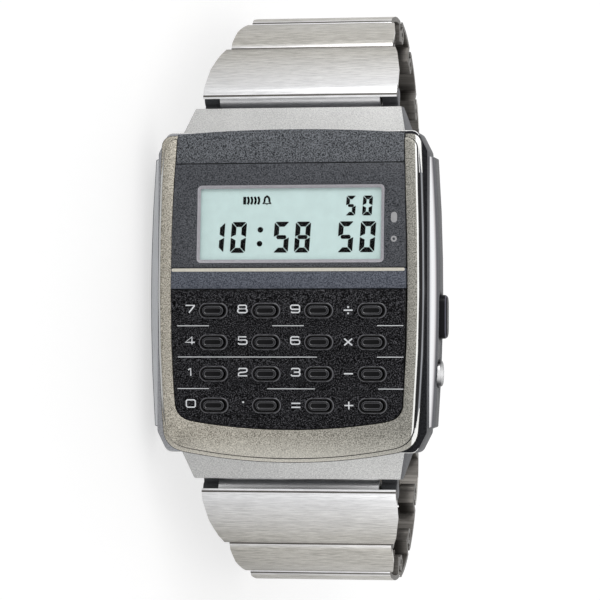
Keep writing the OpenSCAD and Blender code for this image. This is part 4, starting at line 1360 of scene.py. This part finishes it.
class WATCH_OT_pushers(bpy.types.Operator):
    """Oblong black pusher and round recessed steel pusher"""

    bl_idname = "watch.pushers"
    bl_label = "Pushers"

    def execute(self, context):
        outwards = Matrix(((0, 0, 1), (1, 0, 0), (0, 1, 0))).to_4x4()

        def cap(length, width, tall, edge, dish):
            """A pusher's head with a round edge and a dish, and its stem below."""
            piece = round_head(length, width, tall, edge, 4, 48)
            for share in (1.0, 0.5):
                bpy.ops.mesh.inset(thickness=0.15 * width, depth=-dish * share)
            pick_end(0)
            bpy.ops.mesh.inset(thickness=0.25 * width)
            bpy.ops.transform.resize(value=(0.5 * width / (length - 0.5 * width), 1, 1))
            extrude((0, 0, -PUSHER_STEM))
            done()
            return piece

        mode = cap(5.2, 2.15, 2.25, 0.42, 0.03)
        # The pusher's rounded edge takes a painted highlight
        paint(mode, ["pusher_black", "pusher_rim_painted_highlight"], lambda middle, normal: int(
            middle.z > 1.75 and 0.45 < normal.z < 0.8
        ))
        settle(
            mode, "oblong_pusher", "mode_button", ["mode_button"],
            place_at=Matrix.Translation((PUSHER_REAR_X, OBLONG_Y, PUSHER_Z)) @ outwards,
        )
        adjust = cap(3.1, 3.1, 1.6, 0.2, 0.12)
        # The round pusher's finish has a painted highlight in its dish and painted shade at its
        # rim
        paint(adjust, ["round_pusher"])
        settle(
            adjust, "round_pusher", "adjust_button", ["adjust_button"],
            place_at=Matrix.Translation((PUSHER_REAR_X, ROUND_Y, PUSHER_Z)) @ outwards,
        )
        return {"FINISHED"}


class WATCH_OT_back(bpy.types.Operator):
    """Case back and its screws"""

    bl_idname = "watch.back"
    bl_label = "Case back"

    def execute(self, context):
        edge = context.scene.watch_sizes.edge
        dressed(
            "case_back", "case_back_plate", "case_back_brushed", "case_steel", 1.5 * edge,
            segments=3,
        )
        dressed("case_back_screws", "back_screws", "bright_steel", "bright_steel", edge / 2)
        return {"FINISHED"}


class WATCH_OT_movement(bpy.types.Operator):
    """Finishes of the pieces inside the case"""

    bl_idname = "watch.movement"
    bl_label = "Inside pieces"

    def execute(self, context):
        inside = {
            "module_plastic": ["module_frame"],
            "board_green": ["circuit_board"],
            "rubber_pale": ["key_rubber"],
            "rubber_black": ["case_back_gasket", "button_seals"],
            "connector_pink": ["lcd_connectors"],
            "display": ["lcd_panel"],
            "brass": ["buzzer_disc"],
            "bright_steel": [
                "battery", "battery_clip", "buzzer_spring", "button_springs",
                "spring_bar_upper", "spring_bar_lower", "mode_button_clip", "adjust_button_clip",
            ],
        }
        for name, nodes in inside.items():
            for node in nodes:
                frame["nodes"][node].data.materials.clear()
                frame["nodes"][node].data.materials.append(finish(name))
        return {"FINISHED"}


# On a link, in its own axes: where the painted shade of its far end starts and how long it takes,
# and how high and how far forward the brushed outside lies
FIRST_LINK_PAINTED_SHADE = (-0.3, 7.5)
LINK_PAINTED_SHADE = (-1.35, 0.6)
LINK_OUTSIDE_Z = 1.3
LINK_ROLL_Y = -1.3


class WATCH_OT_bracelet(bpy.types.Operator):
    """Twelve links of folded steel"""

    bl_idname = "watch.bracelet"
    bl_label = "Bracelet"

    def execute(self, context):
        edge = context.scene.watch_sizes.edge
        for half in ("upper", "lower"):
            for i in range(LINKS):
                node = f"{half}_link_{i + 1}"
                own = link_matrix(half, i)
                piece = remodelled(node)
                place(piece, own.inverted())
                soften(piece, edge, 2, 40)
                # The far attribute holds the link's painted shade: 0 at its case end, 1 where the
                # shade is full
                shade = piece.data.attributes.new("far", "FLOAT", "POINT")
                start, reach = FIRST_LINK_PAINTED_SHADE if i == 0 else LINK_PAINTED_SHADE
                for point, share in zip(piece.data.vertices, shade.data):
                    share.value = min(max((point.co.y - start) / reach, 0), 1)
                paint(piece, ["link_inside", "link_brushed"], lambda middle, normal: int(
                    (middle.z > LINK_OUTSIDE_Z or middle.y < LINK_ROLL_Y) and normal.z > -0.3
                ))
                name = f"{half}_band_link_{i + 1}"
                settle(piece, name, node, [node], place_at=own)
        return {"FINISHED"}


class WATCH_OT_clasp(bpy.types.Operator):
    """Cover and two blades of the clasp"""

    bl_idname = "watch.clasp"
    bl_label = "Clasp"

    def execute(self, context):
        edge = context.scene.watch_sizes.edge
        for node in ("clasp_inner_blade", "clasp_outer_blade", "clasp_cover"):
            dressed(node, node + "_leaf", "clasp_brushed", "band_steel", edge, body=node)
        return {"FINISHED"}


class WATCH_OT_stage(bpy.types.Operator):
    """Floor, lights and camera"""

    bl_idname = "watch.stage"
    bl_label = "Stage"

    def execute(self, context):
        setup = context.scene.watch_stage
        deselect_all()
        bpy.ops.mesh.primitive_plane_add(size=6)
        floor = context.object
        floor.name = "floor"
        kit = Finish(bpy.data.materials.new("floor_pale"))
        cloud = kit.grain(0.004, 1.0)
        pale = tuple(setup.floor) + (1.0,)
        seen = kit.add("ShaderNodeLightPath", output="Is Camera Ray")
        shade = tuple(0.985 * channel for channel in pale[:3]) + (1.0,)
        lit = kit.blend(kit.spread(cloud, 0.3, 0.7), shade, pale)
        floor.data.materials.append(kit.surface(
            Base_Color=kit.blend(seen, lit, grey(0.42)),
            Roughness=0.7,
            Emission_Color=kit.blend(seen, grey(0.0), grey(0.63)),
            Emission_Strength=1.0,
        ))

        sky = Finish(bpy.data.worlds.new("studio"))
        camera_ray = sky.add("ShaderNodeLightPath", output="Is Camera Ray")
        glossy_ray = sky.add("ShaderNodeLightPath", output="Is Glossy Ray")
        background = sky.add("ShaderNodeBackground", inputs={
            "Color": grey(1.0),
            "Strength": sky.spread(camera_ray + glossy_ray, 0.0, 1.0, setup.sky, 1.0),
        })
        sky.add("ShaderNodeOutputWorld", inputs={"Surface": background})
        context.scene.world = sky.owner

        def lamp(name, towards, away, size, power):
            bpy.ops.object.light_add(type="AREA")
            light = context.object
            light.name = name
            light.data.shape = "DISK"
            light.data.size = size
            light.data.energy = power
            direction = Vector(towards).normalized()
            light.location = direction * away + Vector((0, 0, 0.02))
            light.rotation_euler = direction.to_track_quat("Z", "Y").to_euler()

        lamp("key_light", (-0.9, -0.6, 0.45), 0.8, 0.5, 2.6)
        lamp("fill_light", (0.8, -0.6, 0.5), 0.9, 0.6, 0.3)

        camera = bpy.data.objects.new("camera", bpy.data.cameras.new("camera"))
        context.scene.collection.objects.link(camera)
        camera.data.lens = setup.lens
        camera.data.clip_start = 0.01
        out = (CAMERA_SPOT - CAMERA_TARGET).normalized()
        right = CAMERA_UP.cross(out).normalized()
        turned = Matrix((right, out.cross(right), out)).transposed().to_4x4()
        pose = WATCH @ Matrix.Translation(CAMERA_SPOT) @ turned
        stand = Matrix.Translation(pose.to_translation())
        camera.matrix_world = stand @ pose.to_quaternion().to_matrix().to_4x4()
        context.scene.camera = camera
        context.scene.view_settings.view_transform = "Standard"
        return {"FINISHED"}


STEPS = (
    WATCH_OT_stage, WATCH_OT_case, WATCH_OT_bezel, WATCH_OT_panels, WATCH_OT_window,
    WATCH_OT_digits, WATCH_OT_collars, WATCH_OT_keys, WATCH_OT_legends, WATCH_OT_pushers,
    WATCH_OT_back, WATCH_OT_movement, WATCH_OT_bracelet, WATCH_OT_clasp,
)


class WATCH_PT_panel(bpy.types.Panel):
    """Lists the steps in the order they are run"""

    bl_idname = "WATCH_PT_panel"
    bl_label = "Calculator watch"
    bl_space_type = "VIEW_3D"
    bl_region_type = "UI"
    bl_category = "Watch"

    def draw(self, context):
        scene = context.scene
        for group in (scene.watch_sizes, scene.watch_colours, scene.watch_stage):
            for name in group.bl_rna.properties.keys():
                if name not in ("rna_type", "name"):
                    self.layout.prop(group, name)
        for step in STEPS:
            self.layout.operator(step.bl_idname)


CLASSES = (WatchSizes, WatchColours, WatchStage) + STEPS + (WATCH_PT_panel,)


def register():
    for item in CLASSES:
        bpy.utils.register_class(item)
    bpy.types.Scene.watch_sizes = bpy.props.PointerProperty(type=WatchSizes)
    bpy.types.Scene.watch_colours = bpy.props.PointerProperty(type=WatchColours)
    bpy.types.Scene.watch_stage = bpy.props.PointerProperty(type=WatchStage)


def unregister():
    del bpy.types.Scene.watch_sizes
    del bpy.types.Scene.watch_colours
    del bpy.types.Scene.watch_stage
    for item in reversed(CLASSES):
        bpy.utils.unregister_class(item)


def main():
    register()
    for step in STEPS:
        group, name = step.bl_idname.split(".")
        getattr(getattr(bpy.ops, group), name)()


if __name__ == "__main__":
    main()
